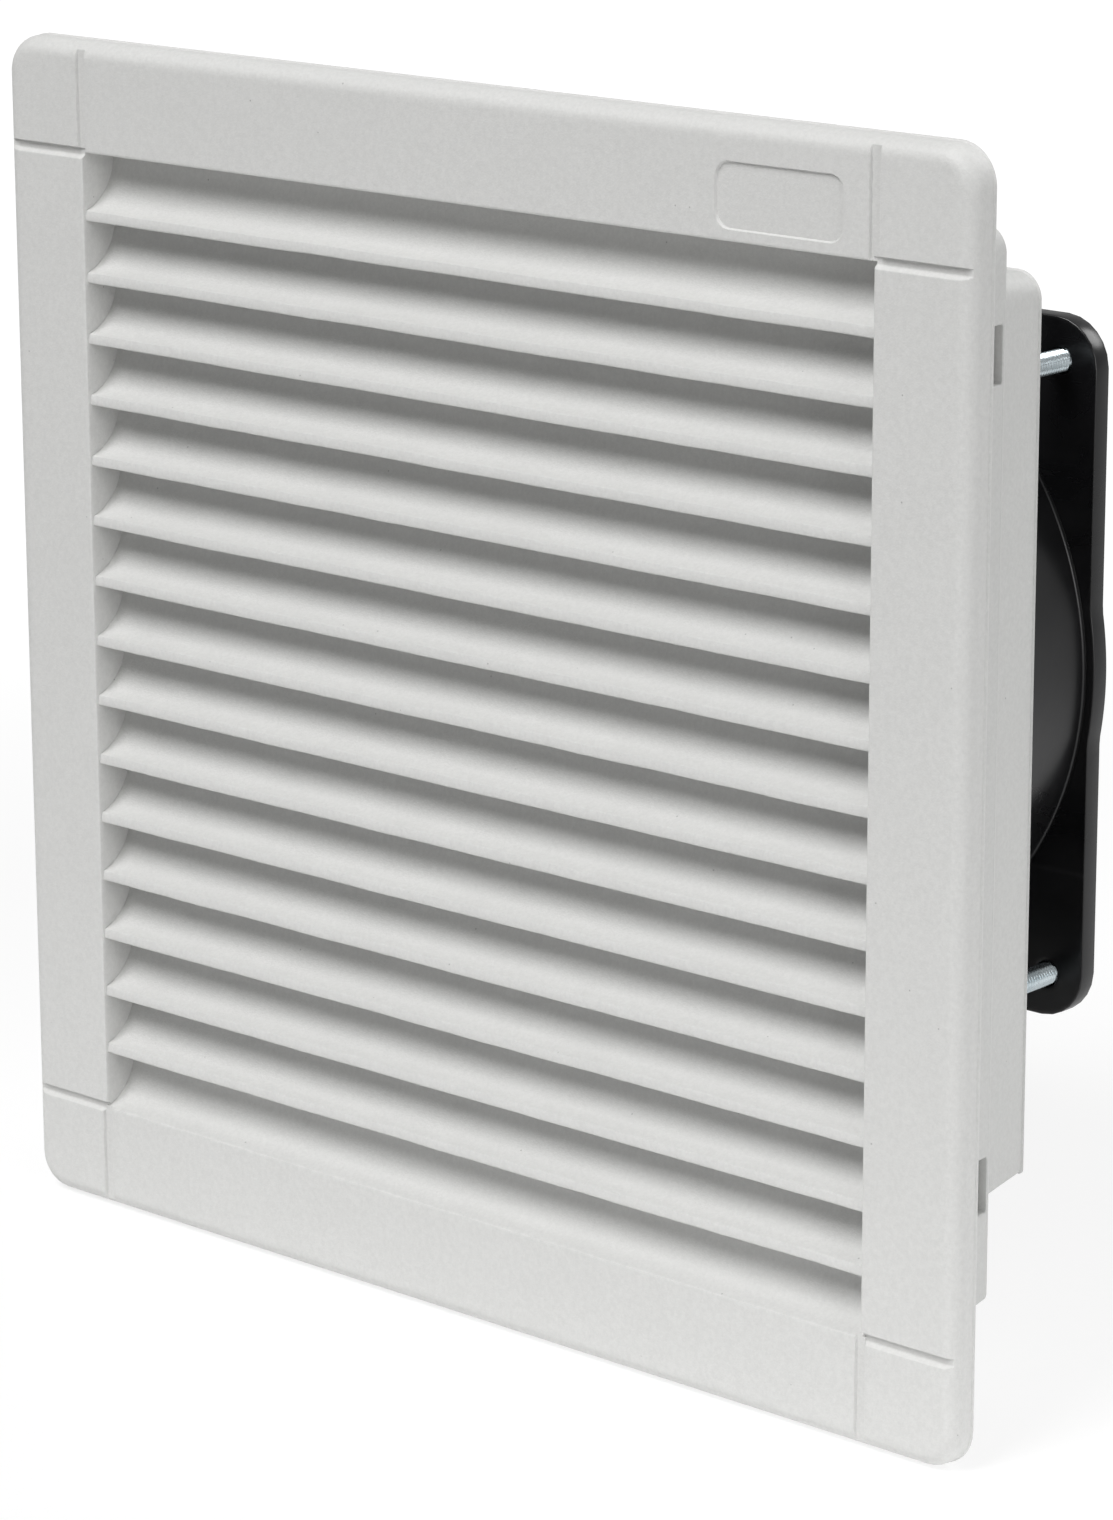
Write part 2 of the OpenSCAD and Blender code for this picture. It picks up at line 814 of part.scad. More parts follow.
module rotor_cup() {
    color([0.60, 0.61, 0.63]) difference() {
        union() {
            difference() {
                rod(cup_front, cup_back, cup_r);
                rod(cup_front + cup_wall, cup_back + cut, cup_r - cup_wall);
            }
            rod(cup_front + cup_wall / 2, cup_front + cup_hub_len, shaft_r + cup_hub_wall);
        }
        rod(cup_front - cut, cup_front + cup_hub_len + cut, shaft_r);
    }
}

module rotor_ring() {
    color([0.36, 0.36, 0.38]) ring(ring_front, ring_back, cup_r - cup_wall, cup_r - cup_wall - ring_t);
}

// A blade is a thin skewed shell: u runs from the hub to the tip, v from the front edge to the rear edge.
function blade_angle(u, v) = (0.5 - v) * (blade_turn_hub + u * (blade_turn_tip - blade_turn_hub))
    + blade_skew * u * u + blade_camber * sin(180 * v);

function blade_y(u, v) = blade_front + (blade_back - blade_front)
    * (0.5 + (v - 0.5) * (1 - blade_thin * u) + blade_bow * sin(180 * u) * (1 - 2 * v));

function blade_point(u, v, side) =
    let (r = hub_r - blade_root + u * (tip_r - hub_r + blade_root))
    let (half_t = side * blade_t / 2 * (blade_edge + (1 - blade_edge) * sin(180 * v)))
    let (a = blade_angle(u, v) + half_t / r * 180 / PI)
    [r * cos(a), blade_y(u, v), r * sin(a)];

// Two triangles that close the gap between the two skins from point a to point b.
function edge_pair(a, b, sheet, forward) = forward
    ? [[a, b, a + sheet], [b, b + sheet, a + sheet]]
    : [[a, a + sheet, b], [b, a + sheet, b + sheet]];

module blade() {
    nu = blade_spans;
    nv = blade_chords;
    row = nv + 1;
    sheet = (nu + 1) * row;
    points = [for (side = [-1, 1], i = [0:nu], j = [0:nv]) blade_point(i / nu, j / nv, side)];
    skin = [for (i = [0:nu - 1], j = [0:nv - 1]) let (a = i * row + j)
        each [[a, a + row, a + 1], [a + 1, a + row, a + row + 1]]];
    far_skin = [for (t = skin) [t[0] + sheet, t[2] + sheet, t[1] + sheet]];
    front_edge = [for (i = [0:nu - 1]) each edge_pair(i * row, i * row + row, sheet, false)];
    rear_edge = [for (i = [0:nu - 1]) each edge_pair(i * row + nv, i * row + nv + row, sheet, true)];
    root_edge = [for (j = [0:nv - 1]) each edge_pair(j, j + 1, sheet, true)];
    tip_edge = [for (j = [0:nv - 1]) each edge_pair(nu * row + j, nu * row + j + 1, sheet, false)];
    polyhedron(points, concat(skin, far_skin, front_edge, rear_edge, root_edge, tip_edge));
}

module impeller() {
    color([0.06, 0.06, 0.065]) {
        difference() {
            rod(hub_front, cup_back, hub_r);
            rod(cup_front, cup_back + cut, cup_r);
            rod(hub_front - cut, cup_front + cut, shaft_r + hub_hole_gap);
        }
        for (i = [0:blades - 1]) rotate([0, 360 * i / blades, 0]) blade();
    }
}

// Fan terminals and leads
module lug_slots() {
    slot_w = lug_w + 2 * lug_slot_gap;
    slot_t = lug_t + 2 * lug_slot_gap;
    for (i = [-0.5, 0.5]) translate([lug_x + i * lug_pitch - slot_w / 2, lug_y - slot_t / 2, -fan_half])
        cube([slot_w, slot_t, lug_len + 2 * lug_out]);
}

module fan_terminals() {
    color([0.75, 0.76, 0.78]) for (i = [-0.5, 0.5])
        translate([lug_x + i * lug_pitch - lug_w / 2, lug_y - lug_t / 2, -fan_half - lug_out])
            cube([lug_w, lug_t, lug_len]);
}

module motor_leads() {
    color([0.55, 0.10, 0.08]) for (i = [0, 1]) motor_lead(i);
}

module motor_lead(i) {
    x = lug_x + (i - 0.5) * lug_pitch;
    z = lead_z + (i - 0.5) * (lead_d + lead_gap);
    top = -fan_half - lug_out - lead_end_gap;
    run = -terminal_w / 2 - x - lead_bend;
    translate([x, lug_y, top]) rotate([180, 0, 0]) cylinder(r = lead_d / 2, h = top - z - lead_bend);
    translate([x + lead_bend, lug_y, z + lead_bend]) rotate([90, 0, 0]) rotate([0, 0, 180])
        rotate_extrude(angle = 90) translate([lead_bend, 0]) circle(lead_d / 2);
    translate([x + lead_bend, lug_y, z]) rotate([0, 90, 0]) cylinder(r = lead_d / 2, h = run);
}

module motor_label() {
    color([0.85, 0.86, 0.87]) rod(motor_back + eps, motor_back + label_t, motor_base_r - label_edge);
}

// Supply terminals
module terminal_x(i) {
    translate([(i - (terminals - 1) / 2) * terminal_pitch, 0, 0]) children();
}

module terminal_block() {
    color([0.12, 0.13, 0.14]) difference() {
        translate([-terminal_w / 2, duct_back, terminal_bottom])
            cube([terminal_w, terminal_depth, terminal_h]);
        for (i = [0:terminals - 1]) terminal_x(i) {
            translate([0, 0, entry_z]) rod(clamp_y, terminal_back + cut, entry_d / 2);
            translate([-clamp_w / 2, clamp_y, terminal_bottom + terminal_wall])
                cube([clamp_w, clamp_len, terminal_h - 2 * terminal_wall]);
            translate([0, clamp_y + clamp_len / 2, terminal_bottom - cut])
                cylinder(r = terminal_head_r + screw_well_gap, h = terminal_wall + 2 * cut);
        }
    }
}

module terminal_clamps() {
    w = clamp_w - 2 * clamp_gap;
    len = clamp_len - 2 * clamp_gap;
    h = terminal_h - 2 * (terminal_wall + clamp_gap);
    color([0.78, 0.66, 0.36]) for (i = [0:terminals - 1]) terminal_x(i) difference() {
        translate([-w / 2, clamp_y + clamp_gap, terminal_bottom + terminal_wall + clamp_gap])
            cube([w, len, h]);
        translate([0, 0, entry_z]) rod(clamp_y - cut, clamp_y + clamp_len + cut, entry_d / 2);
        translate([0, clamp_y + clamp_len / 2, terminal_bottom])
            cylinder(r = terminal_screw_r, h = entry_z - terminal_bottom);
    }
}

module terminal_screws() {
    base = terminal_bottom + terminal_screw_set;
    tip = entry_z - entry_d / 2 - terminal_screw_end;
    color([0.80, 0.81, 0.83]) for (i = [0:terminals - 1]) terminal_x(i)
        translate([0, clamp_y + clamp_len / 2, base]) difference() {
            union() {
                cylinder(r = terminal_head_r, h = terminal_head_h);
                cylinder(r = terminal_screw_r, h = tip - base);
            }
            translate([0, 0, driver_slot_d - cut])
                cube([2 * (terminal_head_r + cut), driver_slot_w, 2 * cut], center = true);
        }
}

// Fasteners
module fan_screw() {
    head_y = washer_y + washer_t;
    side_h = screw_head_h * head_side_share;
    difference() {
        union() {
            rod(screw_tip, head_y + eps, screw_d / 2);
            rod(head_y, head_y + side_h, screw_head_d / 2);
            translate([0, head_y + side_h, 0]) rotate([-90, 0, 0])
                cylinder(r1 = screw_head_d / 2, r2 = screw_head_top_r, h = screw_head_h - side_h);
        }
        for (a = [0, 90]) translate([0, head_y + screw_head_h, 0]) rotate([0, a, 0])
            cube([recess_w, 2 * recess_d, recess_t], center = true);
    }
}

module fan_screws() {
    color([0.78, 0.80, 0.82]) at_holes(hole_spacing) fan_screw();
}

module screw_washers() {
    color([0.74, 0.76, 0.78]) at_holes(hole_spacing)
        ring(washer_y, washer_y + washer_t, washer_d / 2, screw_d / 2 + washer_hole_gap);
}

module brass_inserts() {
    color([0.80, 0.66, 0.34]) at_holes(hole_spacing)
        ring(insert_back - insert_len, insert_back, insert_r, screw_d / 2);
}

housing();
panel_gasket();
front_cover();
filter_mat();
guard_grid();
clip_left_upper();
clip_left_lower();
clip_right_upper();
clip_right_lower();
fan_frame();
fan_screws();
screw_washers();
brass_inserts();
bearing_tube();
stator_core();
stator_windings();
winding_bobbin();
front_bearing_outer();
front_bearing_inner();
front_bearing_balls();
rear_bearing_outer();
rear_bearing_inner();
rear_bearing_balls();
preload_washer();
shaft_clip();
rotor_shaft();
rotor_cup();
rotor_ring();
impeller();
fan_terminals();
motor_leads();
motor_label();
terminal_block();
terminal_clamps();
terminal_screws();
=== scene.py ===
import math

import bmesh
import bpy
from mathutils import Matrix, Vector, noise


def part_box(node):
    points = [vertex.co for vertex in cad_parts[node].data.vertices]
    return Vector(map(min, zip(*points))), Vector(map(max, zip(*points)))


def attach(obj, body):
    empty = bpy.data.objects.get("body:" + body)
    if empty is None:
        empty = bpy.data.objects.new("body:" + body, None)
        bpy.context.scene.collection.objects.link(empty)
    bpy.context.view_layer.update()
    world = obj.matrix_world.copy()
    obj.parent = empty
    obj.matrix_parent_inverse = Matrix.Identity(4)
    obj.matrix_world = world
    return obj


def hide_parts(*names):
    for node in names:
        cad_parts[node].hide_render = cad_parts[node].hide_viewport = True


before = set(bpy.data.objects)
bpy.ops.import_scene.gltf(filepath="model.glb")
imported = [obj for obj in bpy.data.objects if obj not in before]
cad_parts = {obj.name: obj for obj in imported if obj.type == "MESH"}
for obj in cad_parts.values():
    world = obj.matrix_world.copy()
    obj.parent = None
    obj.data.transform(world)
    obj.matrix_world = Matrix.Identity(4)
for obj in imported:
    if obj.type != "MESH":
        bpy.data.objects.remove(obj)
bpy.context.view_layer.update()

# Sizes in millimetres, on the part's own axes: +Y points into the cabinet, +Z up.
MM = 0.001
CORNERS = ((-1, -1), (-1, 1), (1, -1), (1, 1))

# Cover
COVER_FRONT = -7.9
COVER_BACK = -2.9
COVER_HALF = 102.0
COVER_WALL = 2.2
COVER_FILLET = 3.0
COVER_CORNER = 6.5
BEAD = 0.2
FACE_HALF = COVER_HALF - COVER_FILLET
FACE_CORNER = COVER_CORNER - COVER_FILLET
OPENING = 83.523
LOUVRE_WALL = 1.25
LOUVRE_BACK = 1.07
GROOVE_W = 1.5
GROOVE_D = 0.8
GROOVE_EASE = 0.3
GROOVE_SLOPE = 0.8
UPRIGHT_W = 1.9
UPRIGHT_D = 0.5
GROOVES_END = -5
LABEL_AT = (65.52, 90.46)
LABEL_HALF = (12.2, 5.05)
LABEL_R = 2.7
LABEL_D = 0.45
LABEL_EASE = 0.22
SLATS = 15
SLAT_PITCH = 10.4105
SLAT_T = 1.8
SLAT_WAVE = 0.4
LIP_H = 1.7
LIP_RECESS = 0.5
LIP_LEAN = 0.12
SILL_RECESS = 0.06
END_GAP = 9.8
SCOOP_R = 9.0
SCOOP_SLOPE = math.radians(15)
RIB_T = 1.6
RIB_BACK = 4.6
TAB_W = 12.0
TAB_LEN = 5.0
TAB_T = 1.0

# Housing and clips
FLANGE_FRONT = -5.2
FLANGE_BACK = -2.6
FLANGE_HALF = 99.3
DRAFT = 0.1
BOX_BACK = 22.6
BOX_HALF = 88.2
DUCT_BACK = 47.0
DUCT_HALF = 76.4
WALL = 2.2
BOX_CORNER = 4.6
FOOT_CORNER = 0.2
CORNER_STEPS = 18
EDGE = 1.4
CLIP_Z = 66.0
WINDOW_HALF = 4.5
WINDOW_FRONT = 2.2
WINDOW_BACK = 21.1
POCKET_IN = 82.2
POCKET_WALL = 1.2
POCKET_OUT = 84.7
POCKET_FRONT = 1.37
POCKET_HALF = WINDOW_HALF + 1.7
BOSS_R = 5.6
BOSS_DEPTH = (35.8, 45.6)
BOSS_RIB_END = 71.8
CLIP_PIVOT = (83.5, 19.1)
PIN_R = 1.0

# Fan
FAN_FRONT = 47.0
FAN_BACK = 85.0
FAN_HALF = 59.75
FAN_CORNER = 8.5
COLLAR_R = 60.75
FAN_FLANGE = 3.6
BARREL_R = 56.75
BARREL_OUT = 59.05
BARREL_ROOT = 0.45
FLARE_OUT = 1.5
FLARE_DEPTH = 3.4
# The terminal lug: across, along the depth, its foot, and the height of its left and right ends
LUG_X = (-48.0, -32.0)
LUG_DEPTH = (59.0, 65.0)
LUG_FOOT = -56.15
LUG_TOP = (-34.0, -45.8)
# Strut rows: distance from the middle, half width, half thickness
STRUT = ((29.5, 3.6, 1.5), (34.0, 3.1, 1.5), (44.0, 2.7, 1.45), (53.0, 3.0, 1.45), (57.2, 4.2, 1.5))
MOTOR_BASE_R = 31.0
MOTOR_FRONT = 81.6
MOTOR_BACK = 84.6
HOLE_AT = 52.4
HOLE_R = 2.25
HUB_R = 31.0
HUB_FRONT = 49.6
CUP_R = 26.4
CUP_FRONT = 52.2
CUP_BACK = 79.2
TIP_R = 55.25
BLADES = 7
BLADE_T = 1.9
BLADE_NOSE = 0.12
HUB_RIBS = 8

# Screws
WASHER_T = 0.8
HEAD_R = 4.0
SHANK_R = 2.0
THREAD_PITCH = 0.7
THREAD_D = 0.42


# Materials
def operator(operation, swapped=False):
    """A Python operator that adds a maths node."""
    def added(value, other):
        first, second = (other, value) if swapped else (value, other)
        return value.tree.add("ShaderNodeMath", {0: first, 1: second}, {"operation": operation})
    return added


class Value:
    """A socket that Python's operators work on."""

    def __init__(self, tree, socket):
        self.tree = tree
        self.socket = socket

    __add__, __radd__ = operator("ADD"), operator("ADD", True)
    __sub__, __rsub__ = operator("SUBTRACT"), operator("SUBTRACT", True)
    __mul__, __rmul__ = operator("MULTIPLY"), operator("MULTIPLY", True)


class Tree:
    """A node tree under construction."""

    def __init__(self, tree):
        self.nodes = tree.nodes
        self.links = tree.links

    def add(self, kind, sockets=None, settings=None, out=0):
        """A new node, with values or links for its sockets."""
        node = self.nodes.new(kind)
        for key, value in (settings or {}).items():
            setattr(node, key, value)
        for key, value in (sockets or {}).items():
            self.join(value, node.inputs[key])
        return Value(self, node.outputs[out])

    def join(self, value, socket):
        if isinstance(value, Value):
            self.links.new(value.socket, socket)
        else:
            socket.default_value = value


class Finish(Tree):
    """A procedural material, or the world's."""

    def __init__(self, name, owner=None, **constants):
        self.material = owner or bpy.data.materials.new(name)
        self.material.use_nodes = True
        super().__init__(self.material.node_tree)
        self.shader = self.nodes.get("Principled BSDF")
        for socket, value in constants.items():
            self.shader.inputs[socket.replace("_", " ")].default_value = value
        self.lean = None

    def ray(self, kind):
        """1 for rays of one kind, such as Camera."""
        return self.add("ShaderNodeLightPath", out=f"Is {kind} Ray")

    def feed(self, socket, value):
        self.join(value, self.shader.inputs[socket])

    def colour(self, *mixed):
        self.feed("Base Color", self.mix(*mixed))

    def rough(self, *spanned):
        self.feed("Roughness", self.span(*spanned))

    def place(self, stretch=(1, 1, 1)):
        """Object coordinates, stretched along the axes."""
        at = self.add("ShaderNodeTexCoord", out="Object")
        return self.add("ShaderNodeMapping", {"Vector": at, "Scale": stretch})

    def grain(self, size, detail=2.0, stretch=(1, 1, 1), rough=0.5, twist=0.0):
        """Noise whose lumps are about size millimetres wide."""
        sockets = {"Vector": self.place(stretch), "Scale": 1000 / size, "Detail": detail}
        return self.add("ShaderNodeTexNoise", {**sockets, "Roughness": rough, "Distortion": twist})

    def cells(self, size):
        """Distance from the middle of cells about size millimetres wide."""
        sockets = {"Vector": self.place(), "Scale": 1000 / size}
        return self.add("ShaderNodeTexVoronoi", sockets, out="Distance")

    def bands(self, size, direction, twist):
        """Parallel ridges, one every size millimetres."""
        sockets = {"Vector": self.place(), "Scale": 1000 / size * 0.05 * math.pi, "Distortion": twist}
        return self.add("ShaderNodeTexWave", sockets, {"bands_direction": direction}, out=1)

    def span(self, value, low, high, to_low=0.0, to_high=1.0):
        """Maps low to high onto to_low to to_high, and clamps the rest."""
        return self.add("ShaderNodeMapRange", {0: value, 1: low, 2: high, 3: to_low, 4: to_high})

    def mix(self, factor, first, second):
        one, two = (c if isinstance(c, Value) else (*c, 1.0) for c in (first, second))
        return self.add("ShaderNodeMix", {0: factor, 6: one, 7: two}, {"data_type": "RGBA"}, out=2)

    def raise_by(self, height, depth, strength=1.0):
        """Adds a bump of depth millimetres on top of the ones before it."""
        sockets = {"Height": height, "Distance": depth * MM, "Strength": strength}
        if self.lean:
            sockets["Normal"] = self.lean
        self.lean = self.add("ShaderNodeBump", sockets)
        self.feed("Normal", self.lean)


def shade(colour, by):
    """A colour made darker or lighter."""
    return tuple(min(1.0, c * by) for c in colour)


def moulded(name, colour, rough, mottle=0.03, grain=0.32, depth=0.035):
    """Moulded plastic with a spark-eroded grain, faint flow marks and a little handling gloss."""
    f = Finish(name)
    speck = f.grain(grain, 3.0)
    flow = f.grain(38.0, 3.0, (0.35, 1.0, 1.6), twist=0.8)
    cloud = f.grain(9.0, 2.0)
    tone = f.span(flow * 0.55 + cloud * 0.25 + speck * 0.2, 0.35, 0.65)
    base = f.mix(tone, shade(colour, 1 - mottle), shade(colour, 1 + mottle))
    pebble = f.grain(0.75, 3.0, rough=0.75)
    base = f.mix(f.span(pebble, 0.35, 0.65), base, shade(colour, 0.925))
    dust = f.span(f.grain(1.4, 4.0, rough=0.7), 0.66, 0.74, 0.0, 0.35)
    base = f.mix(dust, base, shade(colour, 0.9))
    spot = f.span(f.cells(6.0), 0.02, 0.032, 0.5, 0.0)
    f.colour(spot, base, shade(colour, 0.25))
    f.rough(cloud + flow * 0.6, 0.55, 1.05, rough - 0.06, rough + 0.07)
    f.raise_by(speck, depth)
    f.raise_by(pebble, depth * 1.6, 0.8)
    f.raise_by(flow, 0.12, 0.5)
    return f.material


def glossy_black(name, colour, rough, depth=0.01):
    """Glossy black plastic with flow lines, fine scuffs and dust."""
    f = Finish(name, Coat_Weight=0.05, Coat_Roughness=0.2, Specular_IOR_Level=0.42)
    flow = f.grain(26.0, 3.0, (1.0, 0.5, 1.0), twist=1.2)
    scuff = f.span(f.grain(5.0, 5.0, (0.12, 1.0, 1.0), 0.7, 2.0), 0.6, 0.72)
    speck = f.grain(0.4, 2.0)
    swirl = f.grain(3.2, 3.0, twist=0.6)
    dust = f.span(f.grain(0.9, 3.0, rough=0.75), 0.68, 0.76, 0.0, 0.5)
    pale = tuple(c * 2.2 + 0.006 for c in colour)
    worn = f.span(flow, 0.3, 0.7, 0.0, 0.5) + scuff * 0.2 + dust * 0.5
    f.colour(worn, colour, pale)
    dull = f.span(flow, 0.3, 0.7, rough - 0.05, rough + 0.06) + scuff * 0.14 + dust * 0.2
    f.feed("Roughness", dull)
    f.raise_by(speck, depth, 0.6)
    f.raise_by(swirl, 0.05, 0.5)
    f.raise_by(flow, 0.15, 0.4)
    return f.material


def metal(name, colour, rough, size, stretch=(1, 1, 1), depth=0.006, tint=None, **constants):
    """Metal with tool marks, patches of duller plating and fine pits."""
    f = Finish(name, Metallic=1.0, **constants)
    marks = f.grain(size, 4.0, stretch, 0.6)
    patch = f.grain(4.5, 3.0, rough=0.6, twist=0.5)
    pits = f.span(f.grain(0.5, 2.0), 0.64, 0.72)
    tone = f.span(patch, 0.35, 0.7, 0.0, 0.5) + pits * 0.12
    f.colour(tone, colour, tint or shade(colour, 0.82))
    f.feed("Roughness", f.span(marks + patch * 0.5, 0.5, 1.0, rough - 0.07, rough + 0.1) + pits * 0.1)
    f.raise_by(marks, depth, 0.8)
    return f.material


def foam():
    """Black closed-cell foam with its cut cells showing."""
    f = Finish("closed_cell_foam", Roughness=0.9)
    cell = f.cells(0.9)
    fine = f.cells(0.35)
    tone = f.span(cell * 0.7 + fine * 0.5, 0.1, 0.7)
    f.colour(tone, (0.022, 0.022, 0.024), (0.055, 0.055, 0.058))
    f.raise_by(1 - cell, 0.25, 0.8)
    f.raise_by(1 - fine, 0.08, 0.6)
    return f.material


def fleece():
    """White filter fleece: crossed fibres with a soft bloom."""
    f = Finish("filter_fleece", Roughness=0.95, Sheen_Weight=0.35, Sheen_Roughness=0.5)
    one = f.span(f.grain(1.1, 5.0, (0.16, 1.0, 1.0), 0.7, 2.5), 0.4, 0.62)
    two = f.span(f.grain(1.1, 5.0, (1.0, 1.0, 0.16), 0.7, 2.5), 0.4, 0.62)
    three = f.span(f.grain(0.9, 5.0, (0.55, 1.0, 0.55), 0.75, 3.5), 0.42, 0.62)
    fibre = f.span(one + two + three, 0.6, 2.2)
    wad = f.grain(11.0, 3.0)
    base = f.mix(fibre, (0.60, 0.61, 0.62), (0.88, 0.89, 0.90))
    f.colour(f.span(wad, 0.4, 0.7, 0.0, 0.3), base, (0.70, 0.71, 0.70))
    f.raise_by(fibre, 0.3, 0.9)
    f.raise_by(wad, 0.9, 0.6)
    return f.material


def wound_copper():
    """Enamelled wire: parallel turns under a thin clear coat."""
    f = Finish("enamelled_copper", Metallic=0.75, Coat_Weight=0.6, Coat_Roughness=0.15)
    turn = f.bands(0.42, "Z", 0.35)
    patch = f.grain(3.0, 3.0)
    wire = f.mix(f.span(turn, 0.05, 0.9), (0.12, 0.03, 0.012), (0.62, 0.21, 0.07))
    f.colour(f.span(patch, 0.4, 0.7, 0.0, 0.4), wire, (0.45, 0.12, 0.04))
    f.rough(patch, 0.3, 0.7, 0.24, 0.4)
    f.raise_by(turn, 0.16, 0.9)
    return f.material


def laminations():
    """A stack of punched steel sheets, with their edges showing."""
    f = Finish("steel_laminations", Metallic=0.85)
    sheet = f.bands(0.5, "Y", 0.15)
    rust = f.span(f.grain(2.4, 4.0, rough=0.65), 0.55, 0.7)
    base = f.mix(f.span(sheet, 0.0, 0.35), (0.05, 0.05, 0.055), (0.30, 0.30, 0.315))
    f.colour(rust * 0.35, base, (0.20, 0.13, 0.09))
    f.feed("Roughness", 0.38 + rust * 0.25)
    f.raise_by(f.span(sheet, 0.0, 0.4), 0.06, 0.8)
    return f.material


def foil():
    """Bare brushed label foil."""
    f = Finish("brushed_foil", Metallic=0.9, Anisotropic=0.4)
    brush = f.grain(0.5, 4.0, (0.02, 1.0, 1.0), 0.6)
    wipe = f.grain(14.0, 3.0)
    f.colour(f.span(brush, 0.35, 0.65), (0.52, 0.53, 0.54), (0.74, 0.75, 0.76))
    f.rough(brush * 0.5 + wipe * 0.5, 0.35, 0.65, 0.26, 0.42)
    f.raise_by(brush, 0.01, 0.6)
    return f.material


def insulation():
    """Red wire insulation, slightly rippled and smeared."""
    f = Finish("lead_insulation", Coat_Weight=0.2, Coat_Roughness=0.3)
    ripple = f.grain(0.8, 3.0)
    smear = f.span(f.grain(3.5, 3.0), 0.4, 0.7)
    f.colour(smear * 0.5, (0.30, 0.016, 0.012), (0.20, 0.014, 0.012))
    f.rough(smear, 0.0, 1.0, 0.36, 0.5)
    f.raise_by(ripple, 0.02, 0.7)
    return f.material


COVER_GREY = (0.66, 0.66, 0.648)
HOUSING_GREY = (0.603, 0.605, 0.594)
finishes = {
    "cover": moulded("cover_grey", COVER_GREY, 0.52, 0.012),
    "housing": moulded("housing_grey", HOUSING_GREY, 0.5, 0.014),
    "clip": moulded("clip_grey", (0.62, 0.622, 0.60), 0.46, 0.02, 0.4),
    "gloss": glossy_black("fan_black", (0.0035, 0.0035, 0.004), 0.3),
    "blade": glossy_black("blade_black", (0.013, 0.013, 0.014), 0.34, 0.016),
    "terminal": moulded("terminal_black", (0.022, 0.022, 0.024), 0.5, 0.12, 0.3, 0.03),
    "nylon": moulded("natural_nylon", (0.74, 0.72, 0.63), 0.42, 0.04, 0.5, 0.02),
    "zinc": metal("bright_zinc", (0.58, 0.64, 0.67), 0.24, 0.5, (1, 1, 1), 0.006, (0.42, 0.50, 0.54)),
    "steel": metal("ground_steel", (0.62, 0.62, 0.63), 0.22, 0.35, (1, 0.08, 1), 0.004),
    "cup": metal("drawn_steel", (0.36, 0.36, 0.37), 0.36, 0.7, (1, 0.15, 1), 0.008),
    "magnet": metal("ring_magnet", (0.12, 0.12, 0.125), 0.55, 0.4, depth=0.02, Specular_IOR_Level=0.4),
    "spring": metal("blued_spring_steel", (0.16, 0.17, 0.20), 0.3, 0.4, tint=(0.10, 0.11, 0.18)),
    "brass": metal("turned_brass", (0.74, 0.55, 0.22), 0.27, 0.4, (1, 0.12, 1), 0.006, (0.55, 0.38, 0.14)),
    "foam": foam(),
    "fleece": fleece(),
    "copper": wound_copper(),
    "core": laminations(),
    "foil": foil(),
    "lead": insulation(),
}


# Shapes: a shell is (points in millimetres, faces), and it is always closed.
def loft(rings, closed=False):
    """Skins a row of rings with the same number of points. closed joins the last ring to the first."""
    count = len(rings[0])
    points = [p for ring in rings for p in ring]
    faces = []
    for k in range(len(rings) if closed else len(rings) - 1):
        a, b = k * count, (k + 1) % len(rings) * count
        for i in range(count):
            j = (i + 1) % count
            faces.append((a + i, a + j, b + j, b + i))
    if not closed:
        faces += [tuple(range(count)), tuple(range(len(points) - count, len(points)))]
    return points, faces


def arc(cx, cy, r, start, end, steps):
    """Points on an arc, from start to end in degrees."""
    turns = (math.radians(start + (end - start) * k / steps) for k in range(steps + 1))
    return [(cx + r * math.cos(a), cy + r * math.sin(a)) for a in turns]


def quarter(steps, first=0):
    """The sine and cosine of even steps from 0 to 90 degrees."""
    turns = (math.pi / 2 * k / steps for k in range(first, steps + 1))
    return [(math.sin(a), math.cos(a)) for a in turns]


def rounded(half_u, half_v, r, steps=6):
    """A rectangle with round corners, anticlockwise."""
    outline = []
    for quarter, (su, sv) in enumerate(((1, 1), (-1, 1), (-1, -1), (1, -1))):
        outline += arc(su * (half_u - r), sv * (half_v - r), r, 90 * quarter, 90 * quarter + 90, steps)
    return outline


def circle(r, steps=32, at=(0, 0)):
    """Points on a circle, anticlockwise."""
    return [(at[0] + u, at[1] + v) for u, v in arc(0, 0, r, 0, 360, steps)[:-1]]


def along(axis, w, outline):
    """Stands an outline at w along an axis."""
    order = {"X": (2, 0, 1), "Y": (0, 2, 1), "Z": (0, 1, 2)}[axis]
    return [tuple((u, v, w)[k] for k in order) for u, v in outline]


def inset(outline, by):
    """Moves every side of an anticlockwise outline inwards."""
    moved = []
    for i, here in enumerate(outline):
        before, after = Vector(outline[i - 1]), Vector(outline[(i + 1) % len(outline)])
        one = (Vector(here) - before).normalized()
        two = (after - Vector(here)).normalized()
        normals = Vector((-one.y, one.x)), Vector((-two.y, two.x))
        middle = (normals[0] + normals[1]).normalized()
        reach = by / max(0.4, middle.dot(normals[0]))
        moved.append((here[0] + middle.x * reach, here[1] + middle.y * reach))
    return moved


